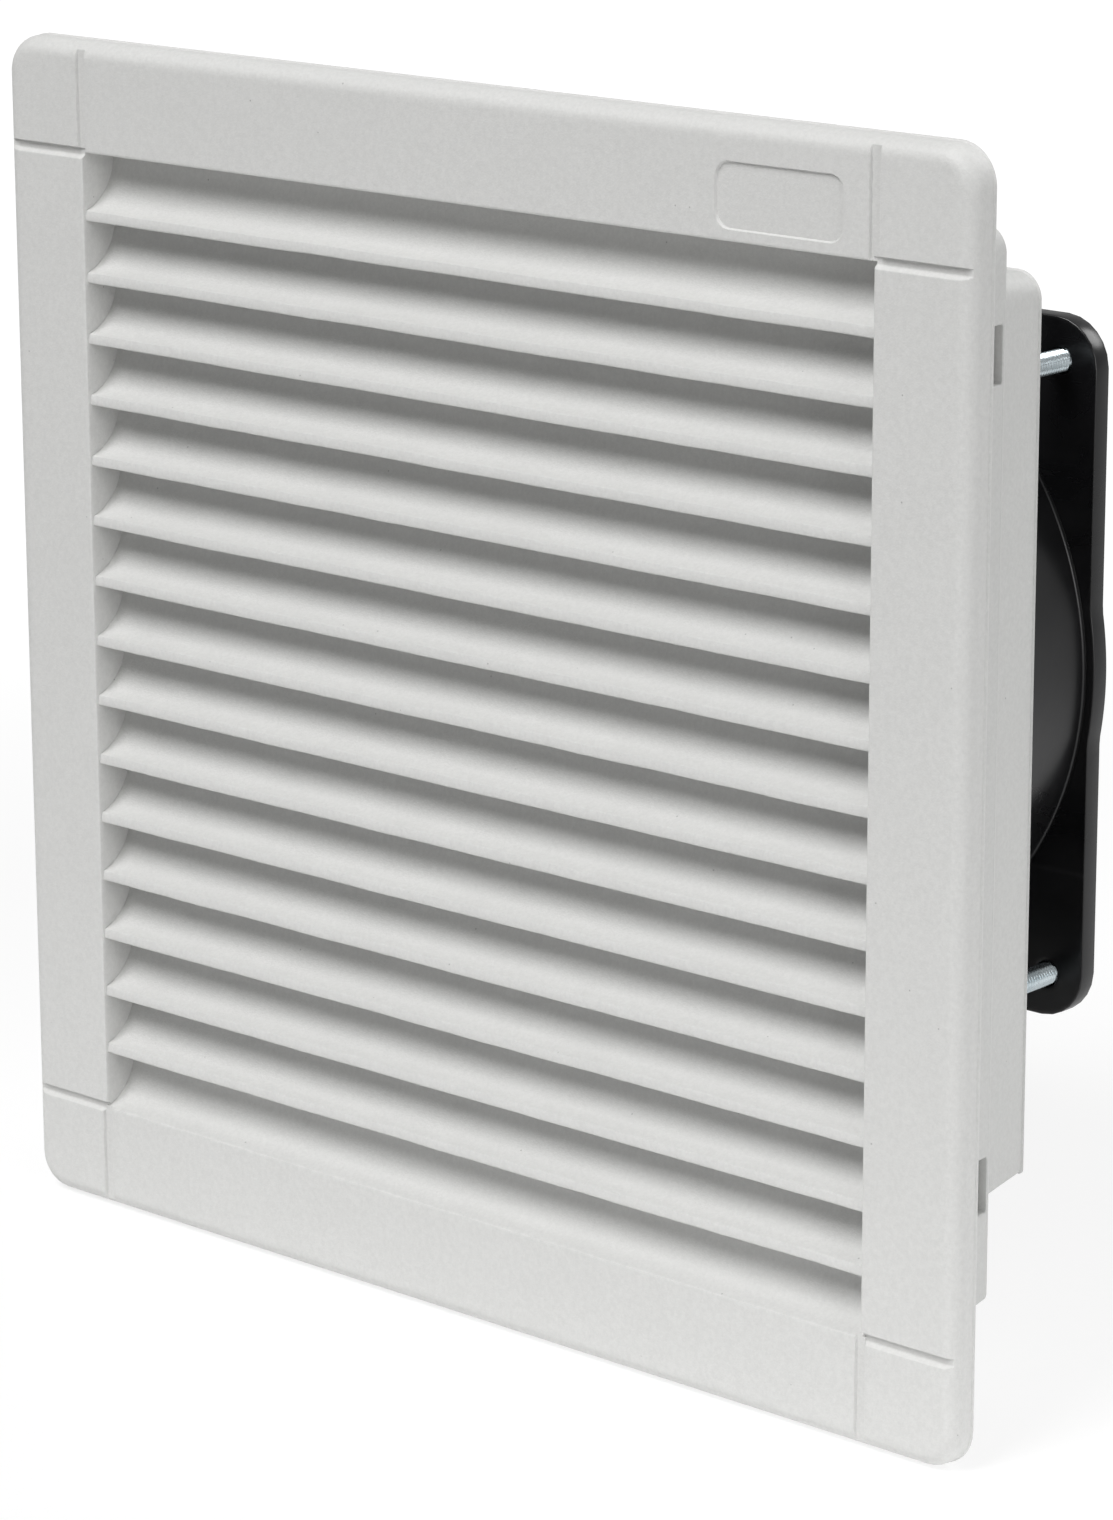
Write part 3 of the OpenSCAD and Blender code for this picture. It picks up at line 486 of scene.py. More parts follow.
def plate(outline, w0, w1, axis="Y", holes=(), soft=0.3, steps=2, border=0.0):
    """A flat plate with holes, its edges rounded by soft. Every outline runs anticlockwise.

    border is the width of a flat strip inside the rounding, which keeps the faces evenly shaded.
    """
    shell = bmesh.new()
    for sign, edge in [(1, outline)] + [(-1, hole) for hole in holes]:
        rows = [(soft + border, w0)] if border else []
        rows += [(soft * (1 - s), w0 + soft * (1 - c)) for s, c in quarter(steps)]
        rows += [(by, w0 + w1 - w) for by, w in reversed(rows)]
        rings = [along(axis, w, inset(edge, sign * by)) for by, w in rows]
        loops = [[shell.verts.new(p) for p in ring] for ring in rings]
        for low, high in zip(loops, loops[1:]):
            for i in range(len(low)):
                shell.faces.new((low[i - 1], low[i], high[i], high[i - 1]))
    rims = [e for e in shell.edges if e.is_boundary]
    for w in (w0, w1):
        normal = Vector(along(axis, 1, [(0, 0)])[0])
        flat = [e for e in rims if all(abs(v.co.dot(normal) - w) < 1e-4 for v in e.verts)]
        bmesh.ops.triangle_fill(shell, edges=flat, use_beauty=True, normal=normal)
    shell.verts.index_update()
    points = [tuple(v.co) for v in shell.verts]
    faces = [tuple(v.index for v in face.verts) for face in shell.faces]
    shell.free()
    return points, faces


def turned(profile, steps=96, at=(0, 0)):
    """Turns a closed profile of (radius, depth) about an axis along Y."""
    return loft([along("Y", y, circle(r, steps, at)) for r, y in profile], closed=True)


def block(low, high, soft=0.3, axis="Y"):
    """A bar with rounded edges between two opposite corners."""
    low, high = [min(ends) for ends in zip(low, high)], [max(ends) for ends in zip(low, high)]
    order = {"X": (1, 2, 0), "Y": (0, 2, 1), "Z": (0, 1, 2)}[axis]
    u, v = ((low[k] + high[k]) / 2 for k in order[:2])
    half_u, half_v = ((high[k] - low[k]) / 2 for k in order[:2])
    outline = [(u + a, v + b) for a, b in rounded(half_u, half_v, soft, 2)]
    return plate(outline, low[order[2]], high[order[2]], axis, soft=soft)


def placed(shell, move):
    """Moves every point of a shell by a rule."""
    points, faces = shell
    return [move(*p) for p in points], faces


def shell_mesh(shells):
    """Joins closed shells in one mesh, in metres, with every face turned outwards."""
    whole = bmesh.new()
    for points, faces in shells:
        one = bmesh.new()
        corners = [one.verts.new(Vector(p) * MM) for p in points]
        for face in faces:
            one.faces.new([corners[i] for i in face])
        bmesh.ops.remove_doubles(one, verts=one.verts, dist=2e-6)
        bmesh.ops.dissolve_degenerate(one, edges=one.edges, dist=1e-6)
        bmesh.ops.recalc_face_normals(one, faces=one.faces)
        part = bpy.data.meshes.new("shell")
        one.to_mesh(part)
        one.free()
        whole.from_mesh(part)
        bpy.data.meshes.remove(part)
    mesh = bpy.data.meshes.new("shells")
    whole.to_mesh(mesh)
    whole.free()
    return mesh


def linked(name, data):
    """A new object in the scene."""
    made = bpy.data.objects.new(name, data)
    bpy.context.scene.collection.objects.link(made)
    return made


def shown(name, mesh, sharp=32):
    """An object with smooth faces, and sharp edges where they turn by more than sharp degrees."""
    mesh.shade_smooth()
    mesh.set_sharp_from_angle(angle=math.radians(sharp))
    return linked(name, mesh)


def settled(made):
    """Applies an object's modifiers and gives its plain mesh."""
    graph = bpy.context.evaluated_depsgraph_get()
    mesh = bpy.data.meshes.new_from_object(made.evaluated_get(graph), depsgraph=graph)
    made.modifiers.clear()
    return mesh


def carved(shell, *steps):
    """A shell's mesh after steps of (operation, shells), which cut shells out of it or weld them on."""
    made = shown("carved", shell_mesh([shell]))
    for operation, others in steps:
        tool = shown("tool", shell_mesh(others))
        step = made.modifiers.new("cut", "BOOLEAN")
        step.operation = operation
        step.solver = "EXACT"
        step.use_self = True
        step.object = tool
        made.data = settled(made)
        bpy.data.objects.remove(tool)
    mesh = made.data
    bpy.data.objects.remove(made)
    return mesh


def repeater():
    """Geometry Nodes: repeats a piece along a row, each one turned a step further about the Y axis."""
    group = bpy.data.node_groups.new("repeat_in_row", "GeometryNodeTree")
    sockets = {
        "Piece": "Object",
        "Count": "Int",
        "Start": "Vector",
        "Step": "Vector",
        "Turn": "Float",
        "Waviness": "Float",
    }
    for name, kind in sockets.items():
        group.interface.new_socket(name, in_out="INPUT", socket_type="NodeSocket" + kind)
    group.interface.new_socket("Geometry", in_out="OUTPUT", socket_type="NodeSocketGeometry")
    t = Tree(group)
    given = {socket.name: Value(t, socket) for socket in group.nodes.new("NodeGroupInput").outputs}
    line = {"Count": given["Count"], "Start Location": given["Start"], "Offset": given["Step"]}
    row = t.add("GeometryNodeMeshLine", line, {"mode": "OFFSET"})
    spin = t.add("ShaderNodeCombineXYZ", {"Y": t.add("GeometryNodeInputIndex") * given["Turn"]})
    piece = t.add("GeometryNodeObjectInfo", {"Object": given["Piece"]}, out="Geometry")
    placing = {"Points": row, "Instance": piece, "Rotation": spin}
    copies = t.add("GeometryNodeInstanceOnPoints", placing)
    solid = t.add("GeometryNodeRealizeInstances", {0: copies})
    ripple = t.add("ShaderNodeTexNoise", {"Scale": 70.0, "Detail": 3.0})
    lift = t.add("ShaderNodeCombineXYZ", {"Z": (ripple - 0.5) * given["Waviness"]})
    wavy = t.add("GeometryNodeSetPosition", {"Geometry": solid, "Offset": lift})
    t.join(wavy, group.nodes.new("NodeGroupOutput").inputs[0])
    return group


REPEATER = repeater()


def repeated(shell, count, start=(0, 0, 0), step=(0, 0, 0), turn=0.0, waviness=0.0):
    """Repeats a shell through the node tree and gives the plain mesh."""
    base = shown("piece", shell_mesh([shell]))
    holder = linked("row", bpy.data.meshes.new("row"))
    nodes = holder.modifiers.new("repeat", "NODES")
    nodes.node_group = REPEATER
    values = {
        "Piece": base,
        "Count": count,
        "Start": [v * MM for v in start],
        "Step": [v * MM for v in step],
        "Turn": math.radians(turn),
        "Waviness": waviness * MM,
    }
    for socket in REPEATER.interface.items_tree:
        if socket.in_out == "INPUT":
            nodes[socket.identifier] = values[socket.name]
    mesh = settled(holder)
    for used in (holder, base):
        bpy.data.objects.remove(used)
    return mesh


def joined(*meshes):
    """One mesh of several."""
    whole = bmesh.new()
    for mesh in meshes:
        whole.from_mesh(mesh)
    mesh = bpy.data.meshes.new("joined")
    whole.to_mesh(mesh)
    whole.free()
    return mesh


def fit(name, mesh, finish, body, node=None, sharp=32):
    """Shows a finished mesh as a piece that rides on a body and may stand for a CAD node."""
    mesh.name = name
    mesh.materials.clear()
    mesh.materials.append(finishes[finish])
    piece = shown(name, mesh, sharp)
    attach(piece, body)
    if node:
        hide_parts(node)
    return piece


def box_of(node):
    """A CAD node's lowest and highest corners in millimetres."""
    return [Vector(corner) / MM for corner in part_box(node)]


# Camera at the photograph's viewing angle: its turn is yaw, pitch and roll in degrees
IMAGE_HEIGHT = 1520
FOCUS_PIXELS = 5200
SENSOR = 36
CAMERA_AT = (546.3, -599.0, 209.8)
CAMERA_TURN = (41.6, 15.03, 0.18)


def set_camera():
    yaw, pitch, roll = (math.radians(a) for a in CAMERA_TURN)
    look = Vector((-math.sin(yaw) * math.cos(pitch), math.cos(yaw) * math.cos(pitch), -math.sin(pitch)))
    level = Vector((math.cos(yaw), math.sin(yaw), 0))
    below = look.cross(level)
    right = level * math.cos(roll) + below * math.sin(roll)
    down = below * math.cos(roll) - level * math.sin(roll)
    data = bpy.data.cameras.new("camera")
    data.sensor_width = SENSOR
    data.lens = FOCUS_PIXELS / IMAGE_HEIGHT * SENSOR
    camera = linked("camera", data)
    turn = Matrix((right, -down, -look)).transposed().to_4x4()
    camera.matrix_world = Matrix.Translation(Vector(CAMERA_AT) * MM) @ turn
    bpy.context.scene.camera = camera


set_camera()


# Grids with round corners, for the cover's face and the filter pad
def round_corner(x, z, half, corner):
    """Pulls in a place near a square's corner, so that a grid's edge follows the round corner."""
    far = half - corner
    u, v = abs(x) - half + corner, abs(z) - half + corner
    if u <= 0 or v <= 0:
        return x, z
    reach = max(u, v) / math.hypot(u, v)
    return math.copysign(far + u * reach, x), math.copysign(far + v * reach, z)


def grid_rim(across, up):
    """The places round a grid's edge, in order."""
    loop = [(i, 0) for i in range(across)] + [(across, k) for k in range(up)]
    return loop + [(i, up) for i in range(across, 0, -1)] + [(0, k) for k in range(up, 0, -1)]


class Skin:
    """A closed skin in the making, from a grid and rings; a rule gives the grid's points by their keys."""

    def __init__(self, rule):
        self.points, self.faces, self.index = [], [], {}
        self.rule = rule

    def at(self, *key):
        if key not in self.index:
            self.index[key] = len(self.points)
            self.points.append(self.rule(*key))
        return self.index[key]

    def cell(self, i, k, *side):
        corners = ((i, k), (i + 1, k), (i + 1, k + 1), (i, k + 1))
        self.faces.append(tuple(self.at(*corner, *side) for corner in corners))

    def band(self, near, far):
        self.faces += [(near[i - 1], near[i], far[i], far[i - 1]) for i in range(len(near))]
        return far

    def ring(self, near, points):
        """Adds a ring of points and the faces between it and the one before."""
        self.points += points
        return self.band(near, range(len(self.points) - len(points), len(self.points)))


# Front cover
def ease(inside, width):
    """0 outside and 1 inside, with a soft step of the given width."""
    t = min(max(0.5 + inside / width, 0), 1)
    return t * t * (3 - 2 * t)


def sunk(x, z):
    """How far the cover's front face lies back at a place: the grooves and the bare label recess."""
    ax, az = abs(x), abs(z)
    depth = 0
    if az > OPENING - 0.02:
        depth = UPRIGHT_D * ease(UPRIGHT_W / 2 - abs(ax - OPENING), GROOVE_EASE)
    if ax > OPENING - 0.02:
        up = z - math.copysign(OPENING, z)
        floor = ease(GROOVE_W / 2 - up, GROOVE_EASE) * ease(GROOVE_W / 2 + up, GROOVE_SLOPE)
        depth = max(depth, GROOVE_D * floor)
    u = abs(x - LABEL_AT[0]) - LABEL_HALF[0] + LABEL_R
    v = abs(z - LABEL_AT[1]) - LABEL_HALF[1] + LABEL_R
    edge = math.hypot(max(u, 0), max(v, 0)) + min(max(u, v), 0) - LABEL_R
    return max(depth, LABEL_D * ease(-edge, LABEL_EASE))


def on_square(x, z, half, r):
    """The point of a rounded square that is nearest to a place."""
    core = half - r
    qx, qz = min(max(x, -core), core), min(max(z, -core), core)
    away = math.hypot(x - qx, z - qz)
    if away < 1e-9:
        return qx, qz
    return qx + (x - qx) * r / away, qz + (z - qz) * r / away


def face_lines(extra):
    """Where the grid lines of the cover's front face run, from -half to half."""
    offsets = (0.0, 0.35, 0.48, 0.6, 0.66, 0.72, 0.78, 0.84, 0.9, 0.96, 1.02, 1.1, 1.2, 1.6)
    near = [side * w for side in (-1, 1) for w in offsets]
    lines = {FACE_HALF - FACE_CORNER * k / 5 for k in range(6)} | {OPENING + w for w in near}
    lines |= {8.0 * k for k in range(11)} | {88.0, 92.0}
    lines |= {-v for v in lines} | set(extra)
    tidy = []
    for v in sorted(lines):
        if not tidy or v - tidy[-1] > 0.04:
            tidy.append(v)
    return tidy


def label_lines(middle, half):
    """Close lines over the recess's edges and round corners."""
    lines = []
    for side in (-1, 1):
        edge = middle + side * half
        lines += [edge + side * d for d in (0.35, 0.16, 0.11, 0.055, 0.0, -0.055, -0.11, -0.16, -0.35)]
        lines += [edge - side * d * 0.22 for d in range(2, 14)]
    return lines


def cover_shell():
    """The cover's moulding without slats: its face, and rows round the rim, the back and the opening."""
    mouth = OPENING + 0.35
    xs = face_lines(label_lines(LABEL_AT[0], LABEL_HALF[0]))
    zs = face_lines(label_lines(LABEL_AT[1], LABEL_HALF[1]))

    def on_face(i, k):
        x, z = round_corner(xs[i], zs[k], FACE_HALF, FACE_CORNER)
        return x, COVER_FRONT + sunk(x, z), z

    skin = Skin(on_face)
    for i in range(len(xs) - 1):
        for k in range(len(zs) - 1):
            mid = max(abs(xs[i] + xs[i + 1]), abs(zs[k] + zs[k + 1])) / 2
            if mid > mouth:
                skin.cell(i, k)

    rows = []
    for s, c in quarter(8, 1):
        grow = (COVER_FILLET - BEAD) * s
        rows.append((FACE_HALF + grow, FACE_CORNER + grow, COVER_FRONT + COVER_FILLET * (1 - c)))
    out, r, back, front = COVER_HALF, COVER_CORNER, COVER_BACK, COVER_FRONT
    inner = out - COVER_WALL
    back_wall = front + COVER_WALL
    frame_out = OPENING + LOUVRE_WALL
    rows += [
        (out - BEAD, r - BEAD, back - 0.7),
        (out - 0.03, r, back - 0.5),
        (out, r, back - 0.42),
        (out, r, back - 0.25),
        (out - 0.1, r - 0.1, back - 0.08),
        (out - 0.3, r - 0.3, back),
        (inner + 0.3, 4.6, back),
        (inner, 4.3, back - 0.3),
        (inner, 4.3, back_wall + 0.5),
        (inner - 0.15, 4.15, back_wall + 0.15),
        (inner - 0.5, 3.8, back_wall),
        (frame_out + 0.4, 1.4, back_wall),
        (frame_out, 1.0, back_wall + 0.4),
        (frame_out, 1.0, LOUVRE_BACK - 0.2),
        (frame_out - 0.2, 0.8, LOUVRE_BACK),
        (OPENING + 0.2, 0.2, LOUVRE_BACK),
        (OPENING, 0.0, LOUVRE_BACK - 0.2),
        (OPENING, 0.0, -4.0),
        (OPENING, 0.0, front + 0.9),
        (OPENING, 0.0, front + 0.35),
        (OPENING + 0.1, 0.0, front + 0.1),
        (mouth, 0.0, front),
    ]
    near = [skin.at(*key) for key in grid_rim(len(xs) - 1, len(zs) - 1)]
    rim = [skin.points[n] for n in near]
    for size, r, y in rows:
        ring = []
        for x, _, z in rim:
            px, pz = on_square(x, z, size, r)
            ring.append((px, max(y, COVER_FRONT + sunk(px, pz)) if y < GROOVES_END else y, pz))
        near = skin.ring(near, ring)
    return skin.points, skin.faces


def slat_outline(lip):
    """A louvre slat from the side, as (depth, height) from its lip's upper front edge."""
    lead, rise = SCOOP_R * math.sin(SCOOP_SLOPE), SCOOP_R * math.cos(SCOOP_SLOPE)
    outer = SCOOP_R + SLAT_T
    lip_back = rise - math.sqrt(outer ** 2 - (SLAT_T + lead) ** 2)
    soft, crest = 0.28, 0.1
    line = arc(soft, -lip + soft, soft, 270, 180, 3)
    line += arc(LIP_LEAN + crest, 0.04 - crest, crest, 173, 105, 2)
    line += arc(-lead, rise, SCOOP_R, -72.5, -1.5, 13)
    line += arc(SCOOP_R - lead + soft, rise - soft, soft, 180, 90, 2)
    line += arc(outer - lead - soft, rise - soft, soft, 90, 0, 2)
    start = math.degrees(math.asin((SLAT_T + 0.2 + lead) / outer)) - 90
    line += arc(-lead, rise, outer, -2, start, 10)
    line += [(SLAT_T, lip_back), (SLAT_T, -lip + 0.2), (SLAT_T - 0.2, -lip)]
    return line


def slat_shell(steps=64):
    reach = OPENING + LOUVRE_WALL / 2
    outline = slat_outline(LIP_H)
    return loft([along("X", -reach + 2 * reach * k / steps, outline) for k in range(steps + 1)])


def sill_shell():
    """The lowest scoop, whose lip stands back where the upright grooves run up to it."""
    reach, notch = OPENING + LOUVRE_WALL / 2, OPENING - UPRIGHT_W / 2
    floor = UPRIGHT_D - SILL_RECESS + 0.02
    whole = slat_outline(SLAT_T)
    notched = [(max(y, floor), z) for y, z in whole]
    right = [(notch - 0.05, whole), (notch + 0.05, notched), (reach, notched)]
    places = [(-x, outline) for x, outline in reversed(right)] + right
    return loft([along("X", x, outline) for x, outline in places])


def make_cover():
    shells = [cover_shell()]
    for x in (-1, 0, 1):
        mid = x * OPENING / 2
        low = (mid - RIB_T / 2, LOUVRE_BACK - SLAT_T, -OPENING)
        shells.append(block(low, (mid + RIB_T / 2, RIB_BACK, OPENING), 0.25, "Z"))
    for x, z in CORNERS:
        mid = x * OPENING * 2 / 3
        low = (mid - TAB_W / 2, LOUVRE_BACK - SLAT_T, z * OPENING)
        high = (mid + TAB_W / 2, LOUVRE_BACK + TAB_LEN, z * (OPENING + TAB_T))
        shells.append(block(low, high, 0.2, "Z"))
    body = shell_mesh(shells)
    start = (0, COVER_FRONT + LIP_RECESS, OPENING - END_GAP)
    rows = repeated(slat_shell(), SLATS, start, (0, 0, -SLAT_PITCH), waviness=SLAT_WAVE)
    sill = repeated(sill_shell(), 1, (0, COVER_FRONT + SILL_RECESS, -OPENING))
    fit("cover_moulding", body, "cover", "cover", "front_cover")
    fit("cover_slats", joined(rows, sill), "cover", "cover")


make_cover()


# Housing
def box_row(y, half, r, foot=None):
    """A square row whose lower corners are sharper than its upper ones."""
    upper = rounded(half, half, r, CORNER_STEPS)
    lower = rounded(half, half, foot or r * FOOT_CORNER, CORNER_STEPS)
    return along("Y", y, upper[:len(upper) // 2] + lower[len(lower) // 2:])


def wall_at(y):
    """Half the width of the front box's outside at a depth."""
    return BOX_HALF - DRAFT * (y - FLANGE_FRONT)


def soft_edge(y, half, r):
    """Rows round the rear edge of a box."""
    rows = []
    for s, c in quarter(5):
        drop = EDGE * (1 - c)
        rows.append((y - EDGE + EDGE * s, half - drop, r - drop, r * FOOT_CORNER - drop / 2))
    return rows


def beaded_edge(y, half, r):
    """Rows round a nearly sharp rear edge with a fine bead along it."""
    return [
        (y - 0.75, half - BEAD, r - BEAD),
        (y - 0.55, half - 0.03, r),
        (y - 0.45, half, r),
        (y - 0.3, half, r),
        (y - 0.1, half - 0.15, r - 0.15),
        (y, half - 0.45, r - 0.45),
    ]


def housing_shell():
    """The stepped box as one closed skin: out round the flange and back, then in through the duct."""
    corner, inner = BOX_CORNER, BOX_CORNER - WALL
    front, rear, flange = FLANGE_FRONT, FLANGE_BACK, FLANGE_HALF
    end, step = DUCT_BACK, BOX_BACK - WALL
    duct_at = DUCT_HALF - DRAFT * WALL
    duct_end = DUCT_HALF - DRAFT * (end - EDGE - step)
    duct_in = DUCT_HALF - WALL
    hole, hole_edge = [BARREL_R] * 3, [BARREL_R + 0.4] * 3
    rows = [
        (front, flange - 0.3, 4.0, 4.0),
        (front + 0.1, flange - 0.1, 4.2, 4.2),
        (front + 0.3, flange, 4.3, 4.3),
        (rear - 0.3, flange, 4.3, 4.3),
        (rear - 0.1, flange - 0.1, 4.2, 4.2),
        (rear, flange - 0.3, 4.0, 4.0),
        (rear, wall_at(rear) + 0.4, corner + 0.4),
        (rear + 0.4, wall_at(rear), corner),
        *soft_edge(BOX_BACK, wall_at(BOX_BACK - EDGE), corner),
        (BOX_BACK, duct_at + 0.5, corner + 0.5),
        (BOX_BACK + 0.5, duct_at - BEAD, corner),
        *beaded_edge(end, duct_end, corner),
        (end, *hole_edge),
        (end - 0.4, *hole),
        (end - WALL + 0.4, *hole),
        (end - WALL, *hole_edge),
        (end - WALL, duct_in - DRAFT * (end - step), inner),
        (step + 0.3, duct_in - 0.1, inner),
        (step, duct_in + 0.2, inner + 0.3),
        (step, wall_at(step) - WALL - 0.3, inner - 0.3),
        (step - 0.4, wall_at(step) - WALL, inner),
        (front + 0.3, wall_at(front) - WALL - 0.1, inner),
        (front, wall_at(front) - WALL + 0.2, inner + 0.3),
    ]
    return loft([box_row(*row) for row in rows], closed=True)


def window_tool(side, z):
    """Cuts a clip window with soft edges, following the slope of the wall."""
    mid, half = (WINDOW_FRONT + WINDOW_BACK) / 2, (WINDOW_BACK - WINDOW_FRONT) / 2
    rings = []
    for reach, grow in ((None, 0.0), (-0.4, 0.0), (-0.12, 0.12), (0.0, 0.4), (2.0, 0.4)):
        outline = rounded(half + grow, WINDOW_HALF + grow, 0.4 + grow, 4)
        ring = []
        for u, v in outline:
            y = mid + u
            x = POCKET_IN if reach is None else wall_at(y) + reach
            ring.append((side * x, y, z + v))
        rings.append(ring)
    return loft(rings)


def make_housing():
    """The box with clip pockets, windows, and ribbed bosses for the screw inserts."""
    pockets, windows, extra = [], [], []
    front, back = BOSS_DEPTH
    boss = [(BOSS_R - 0.4, front), (BOSS_R, front + 0.4), (BOSS_R, back), (0.01, back), (0.01, front)]
    for side, end in CORNERS:
        z = end * CLIP_Z
        low = (side * (POCKET_IN - POCKET_WALL), POCKET_FRONT, z - POCKET_HALF)
        high = (side * POCKET_OUT, BOX_BACK - WALL / 2, z + POCKET_HALF)
        pockets.append(block(low, high, 0.3, "Z"))
        windows.append(window_tool(side, z))
        extra.append(turned(boss, 32, (side * HOLE_AT, end * HOLE_AT)))
        low = (side * (HOLE_AT + BOSS_R - 1), front, end * HOLE_AT - 1)
        extra.append(block(low, (side * BOSS_RIB_END, back, end * HOLE_AT + 1), 0.25))
    skin = carved(housing_shell(), ("UNION", pockets), ("DIFFERENCE", windows))
    mesh = joined(skin, shell_mesh(extra))
    fit("housing_moulding", mesh, "housing", "housing", "housing")


make_housing()


# Gasket, filter and guard grid
def make_gasket():
    outline, hole = rounded(97.8, 97.8, 4.3, 8), rounded(88.6, 88.6, 6.0, 8)
    ring = plate(outline, FLANGE_BACK + 0.01, -0.01, "Y", [hole], 0.5, 3)
    mesh = shell_mesh([ring])
    fit("panel_gasket_foam", mesh, "foam", "housing", "panel_gasket")


def pad_lines(steps):
    """Grid lines from -1 to 1 that lie closer together near the pad's edges."""
    even = [2 * k / steps - 1 for k in range(steps + 1)]
    return [math.sin(math.pi / 2 * u) * 0.35 + u * 0.65 for u in even]


def make_filter():
    """A fleece pad: flat on the grid, loose and uneven in front, pinched at its edges."""
    low, high = box_of("filter_mat")
    half, steps, layers = (high.x - low.x) / 2, 88, 6
    edge, corner = half - 0.4, 4.0
    middle = (low.y + high.y) / 2
    thick = (high.y - low.y) / 2

    def spot(x, z, side):
        rim = half - max(abs(x), abs(z))
        crown = 1 - 0.34 * math.exp(-max(rim, 0) / 1.6)
        lump = noise.fractal(Vector((x, side * 40, z)) * 0.055, 1.0, 2.0, 4)
        fuzz = noise.noise(Vector((x, side * 9, z)) * 0.55)
        depth = thick * crown - 0.5 + 0.38 * lump + 0.12 * fuzz
        return middle + side * min(depth, thick - 0.02)

    def on_pad(x, z):
        scale = edge / max(edge, abs(x), abs(z))
        return round_corner(x * scale, z * scale, edge, corner)

    lines = pad_lines(steps)
    grid = [[on_pad(u * half, v * half) for v in lines] for u in lines]

    def on_side(i, k, side):
        x, z = grid[i][k]
        return x, spot(x, z, side), z

    skin = Skin(on_side)
    for side in (-1, 1):
        for i in range(steps):
            for k in range(steps):
                skin.cell(i, k, side)
    loop = grid_rim(steps, steps)
    near = [skin.at(*key, -1) for key in loop]
    for layer in range(1, layers):
        t = 2 * layer / layers - 1
        ring = []
        for i, k in loop:
            x, z = grid[i][k]
            fluff = 0.25 * noise.noise(Vector((x, t * 5, z)) * 0.4)
            swell = 1 + (0.35 * (1 - t * t) + fluff - 0.1) / half
            y0, y1 = spot(x, z, -1), spot(x, z, 1)
            ring.append((x * swell, y0 + (y1 - y0) * (t + 1) / 2, z * swell))
        near = skin.ring(near, ring)
    skin.band(near, [skin.at(*key, 1) for key in loop])
    mesh = shell_mesh([(skin.points, skin.faces)])
    pad = fit("filter_fleece_pad", mesh, "fleece", "filter", "filter_mat", sharp=80)


def make_grid():
    """The guard grid: a rim with crossed bars."""
    low, high = box_of("guard_grid")
    half, rim, bars, bar_half = high.x, 4.0, 9, 0.9
    inner, reach = half - rim, half - rim / 2
    rim_shell = plate(rounded(half, half, 4.0, 8), low.y, high.y, "Y", [rounded(inner, inner, 1.5, 4)], 0.4)
    step = 2 * reach / (bars + 1)
    front, back = low.y + 0.02, high.y - 0.02
    upright_bar = block((-bar_half, front, -reach), (bar_half, back, reach), 0.5, "Z")
    level_bar = block((-reach, front, -bar_half), (reach, back, bar_half), 0.5, "X")
    first = -reach + step
    columns = repeated(upright_bar, bars, (first, 0, 0), (step, 0, 0))
    rows = repeated(level_bar, bars, (0, 0, first), (0, 0, step))
    mesh = joined(shell_mesh([rim_shell]), columns, rows)
    fit("guard_grid_lattice", mesh, "housing", "housing", "guard_grid")


make_gasket()
make_filter()
make_grid()


# Wall clips
def make_clips():
    """Four spring clips: a pin at the back, a thin arm, and a hook that stands out past the wall."""
    px, py = CLIP_PIVOT
    bed, tip, front = BOX_HALF - 2.0, 90.6, 2.85
    outline = [
        (px, py + PIN_R), (px - 0.4, py + 0.9), (px - PIN_R, py), (px - 0.8, py - 1.0),
        (px - 0.4, py - 2.0), (bed, 6.8), (bed, front), (bed + 1.2, front), (tip - 0.1, 4.15),
        (tip, 4.4), (tip, 5.6), (tip - 0.15, 5.95), (px + PIN_R, py - 4.0), (px + PIN_R, py),
        (px + 0.7, py + 0.7),
    ]
    half, pin = WINDOW_HALF - 0.3, POCKET_HALF - 0.8
    for side, side_name in ((-1, "left"), (1, "right")):
        for end, end_name in ((-1, "lower"), (1, "upper")):
            z = end * CLIP_Z
            leaf = plate(outline, z - half, z + half, "Z", soft=0.15)
            axle = plate(circle(PIN_R, 24, (px, py)), z - pin, z + pin, "Z", soft=0.15)
            shells = [placed(s, lambda x, y, h: (side * x, y, h)) for s in (leaf, axle)]
            node = f"clip_{side_name}_{end_name}"
            body = f"clip_{side_name[0]}{end_name[0]}"
            fit(f"{node}_leaf", shell_mesh(shells), "clip", body, node, sharp=28)


make_clips()


# Fan frame
def flange_outline(steps=256):
    """A rounded square with a round collar that stands out past its flat sides."""
    outline = []
    core = FAN_HALF - FAN_CORNER
    for k in range(steps):
        a = 2 * math.pi * k / steps
        c, s = abs(math.cos(a)), abs(math.sin(a))
        reach = FAN_HALF / max(c, s)
        if reach * c > core and reach * s > core:
            mid = core * (c + s)
            reach = mid + math.sqrt(max(0, mid ** 2 - 2 * core ** 2 + FAN_CORNER ** 2))
        reach = max(reach, COLLAR_R)
        outline.append((reach * math.cos(a), reach * math.sin(a)))
    return outline


